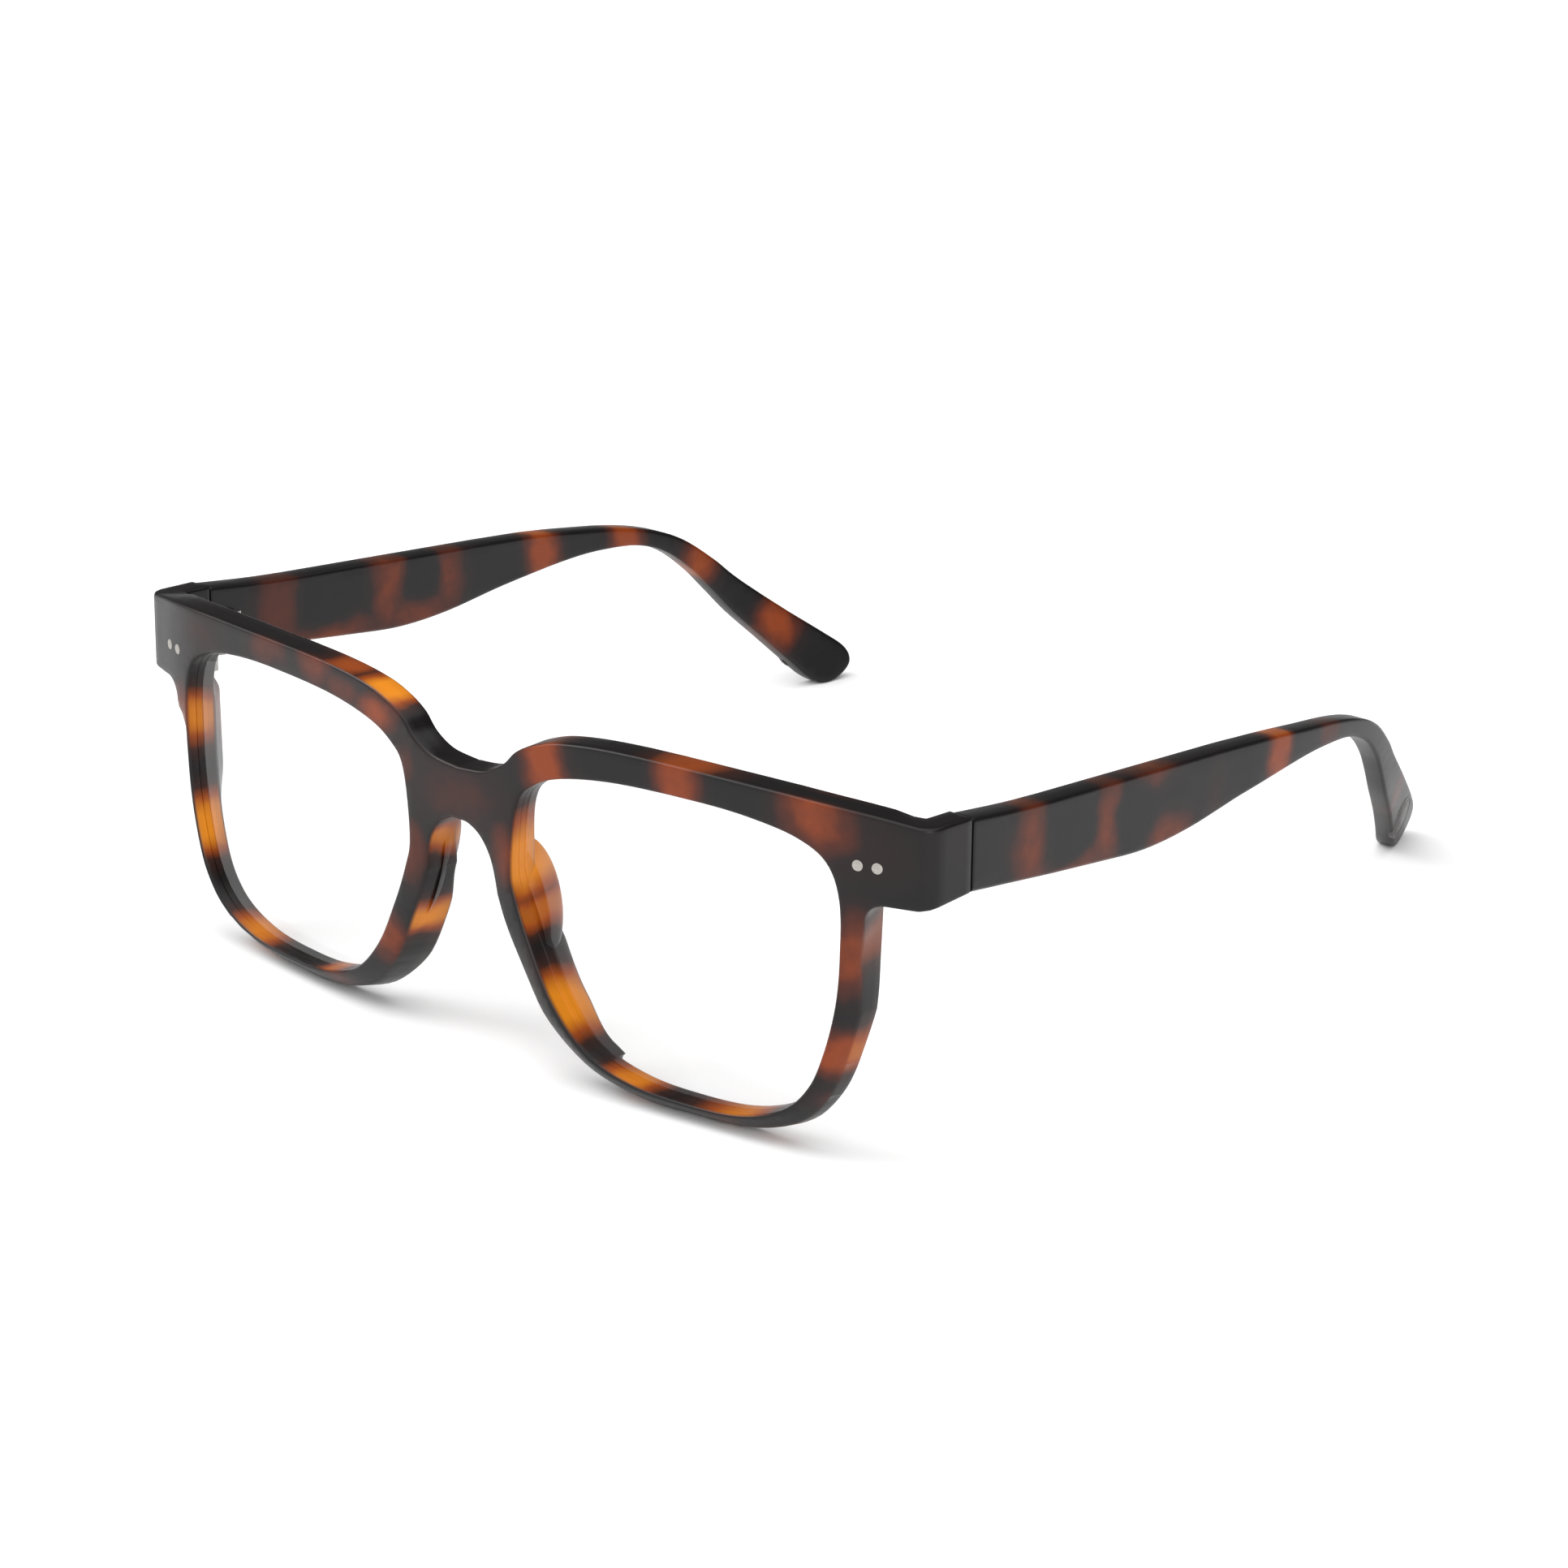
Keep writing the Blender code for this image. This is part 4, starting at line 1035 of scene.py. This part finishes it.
RIGHT_DARKS = [band(58.5, 16.5, 3, 3.4, 0.7), band(41, 16.5, 6, 3.6, 0.6)]
for side, bands, darks in (
    ("left", LEFT_BANDS, LEFT_DARKS), ("right", RIGHT_BANDS, RIGHT_DARKS)
):
    look = tortoise(
        "tortoise_temple_" + side, (0, 1, 1), bands, darks, [], TEMPLE_WALL_GLOW_TONES
    )
    temples[side].data.materials.append(look)
print("acetate materials:", [m.name for m in bpy.data.materials if "tortoise" in m.name])

# %% [markdown]
# ## Clear lenses
# Demonstration lenses are thin clear plastic with a hard coat. Real refraction through
# such a thin plate is hardly seen and its shadow would come out too dark, so most of the
# surface is plainly see-through, and the layer weight lets the gloss gather at a slant.

# %% Lens material
clear, tree, shader = new_material("lens_hard_coat")
shader.inputs["Base Color"].default_value = linear("fafcfc")
shader.inputs["Transmission Weight"].default_value = 1.0
shader.inputs["IOR"].default_value = 1.5
slant = add(tree, "LayerWeight", {"Blend": 0.25}).outputs["Facing"]
gloss = add(tree, "MapRange", {
    "Value": slant, "From Min": 0.2, "From Max": 1.0, "To Min": 0.05, "To Max": 0.4,
}).outputs["Result"]
tree.links.new(gloss, shader.inputs["Alpha"])
smudge = use(tree, wear, {"Roughness": 0.03, "Spread": 0.03, "Grain Size": 2.0})
tree.links.new(smudge.outputs["Roughness"], shader.inputs["Roughness"])
for lens in lenses.values():
    lens.data.materials.append(clear)

# %% [markdown]
# ## Nickel silver and rivets
# Hinge leaves are stamped from nickel silver and lightly brushed; rivet heads are filed
# flush with the front, which leaves a pale satin face with fine specks.

# %% Metal materials


def metal(name, dark, light, roughness, stretch, speck):
    made, tree, shader = new_material(name)
    shader.inputs["Metallic"].default_value = 1.0
    place = use(tree, own).outputs["Place"]
    drawn = add(tree, "VectorMath", {0: place, 1: stretch}, operation="MULTIPLY").outputs[0]
    grain = add(tree, "TexNoise", {"Vector": drawn, "Scale": speck, "Detail": 4.0})
    colour = ramp(tree, grain.outputs["Fac"], ((0.3, dark), (0.7, light)))
    tree.links.new(colour, shader.inputs["Base Color"])
    worn = use(tree, wear, {"Roughness": roughness, "Spread": 0.15, "Grain Size": 0.12})
    tree.links.new(worn.outputs["Roughness"], shader.inputs["Roughness"])
    bump = add(tree, "Bump", {
        "Height": grain.outputs["Fac"], "Strength": 0.15, "Distance": 0.00003,
    })
    tree.links.new(bump.outputs["Normal"], shader.inputs["Normal"])
    return made


steel = metal("brushed_nickel_silver", "8d8a85", "c2bfb8", 0.34, (1, 1, 9), 4.0)
silver = metal("filed_rivet_silver", "9a9690", "c0bcb6", 0.5, (1, 1, 1), 9.0)
for piece in rivets:
    piece.data.materials.append(silver)
for name, node in frame["nodes"].items():
    if name.startswith(("hinge", "core_wire")):
        node.data.materials.clear()
        node.data.materials.append(steel)

# %% [markdown]
# ## The disc in each temple tip
# It is a smoke-grey inlay, a shade lighter than the acetate round it, with soft gloss.

# %% Disc material
inlay, tree, shader = new_material("smoke_inlay")
place = use(tree, own).outputs["Place"]
haze = add(tree, "TexNoise", {"Vector": place, "Scale": 0.7, "Detail": 3.0})
colour = ramp(tree, haze.outputs["Fac"], ((0.3, "2c2828"), (0.7, "45403e")))
tree.links.new(colour, shader.inputs["Base Color"])
worn = use(tree, wear, {"Roughness": 0.42, "Spread": 0.1, "Grain Size": 0.3})
tree.links.new(worn.outputs["Roughness"], shader.inputs["Roughness"])
for disc in discs.values():
    disc.data.materials.append(inlay)

# %% [markdown]
# ## Floor, light and camera
# A wide pale floor and soft light from the front keep the acetate's colours honest.
# Behind and above it is darker, so the top edges read almost black against the floor,
# with one long highlight from a soft box above the front.

# %% Floor
bm = bmesh.new()
bmesh.ops.create_grid(bm, x_segments=1, y_segments=1, size=12)
mesh = bpy.data.meshes.new("table_top")
bm.to_mesh(mesh)
bm.free()
floor = bpy.data.objects.new("table_top", mesh)
bpy.context.scene.collection.objects.link(floor)
pale, tree, shader = new_material("pale_table")
shader.inputs["Base Color"].default_value = linear("f4f4f4")
shader.inputs["Roughness"].default_value = 0.8
mesh.materials.append(pale)

# %% World and lamps
world = bpy.data.worlds.new("studio")
bpy.context.scene.world = world
world.use_nodes = True
tree = world.node_tree
background = tree.nodes["Background"]
seen = add(tree, "LightPath").outputs["Is Camera Ray"]
way = add(tree, "TexCoord").outputs["Generated"]
parts = add(tree, "SeparateXYZ", {0: way})
ahead = add(tree, "MapRange", {
    "Value": parts.outputs["Y"], "From Min": -0.5, "From Max": 0.5,
    "To Min": 1.0, "To Max": 0.12,
}, interpolation_type="SMOOTHSTEP").outputs["Result"]
bright = add(tree, "Math", {0: ahead, 1: seen}, operation="MAXIMUM").outputs[0]
tree.links.new(bright, background.inputs["Color"])


def soft_box(name, place, size, power):
    """A square lamp that faces the object."""
    light = bpy.data.lights.new(name, "AREA")
    light.size = size
    light.energy = power
    lamp = bpy.data.objects.new(name, light)
    lamp.location = place
    away = lamp.location - Vector((0, 0, 0.02))
    lamp.rotation_euler = away.to_track_quat("Z", "Y").to_euler()
    bpy.context.scene.collection.objects.link(lamp)


soft_box("over_the_front", (-0.75, -0.4, 0.85), 0.55, 5.5)
soft_box("overhead", (0.1, 0.1, 1.6), 2.2, 24)
soft_box("right_fill", (1.1, -0.5, 0.5), 0.7, 5)

# %% Camera
AROUND = math.radians(41.47)
ABOVE = math.radians(19.46)
ROLL = math.radians(0.68)
DISTANCE = 576
TO_THE_RIGHT, UPWARDS = 42.73, 5.84
AIM = Vector((0, 0, 8.35))
toward = Vector((
    math.sin(AROUND) * math.cos(ABOVE), -math.cos(AROUND) * math.cos(ABOVE), math.sin(ABOVE)
))
right = Vector((math.cos(AROUND), math.sin(AROUND), 0))
up = toward.cross(right)
level = right * math.cos(ROLL) + up * math.sin(ROLL)
upright = up * math.cos(ROLL) - right * math.sin(ROLL)
eye = (TO_THE_RIGHT * level + UPWARDS * upright + DISTANCE * toward + AIM) * MM
turn = Matrix((level, upright, toward)).transposed().to_4x4()
optics = bpy.data.cameras.new("camera")
optics.sensor_width = 36
optics.lens = 101.33
optics.clip_start = 0.01
camera = bpy.data.objects.new("camera", optics)
bpy.context.scene.collection.objects.link(camera)
camera.matrix_world = STAND @ Matrix.Translation(eye) @ turn
bpy.context.scene.camera = camera
bpy.context.scene.view_settings.view_transform = "Standard"
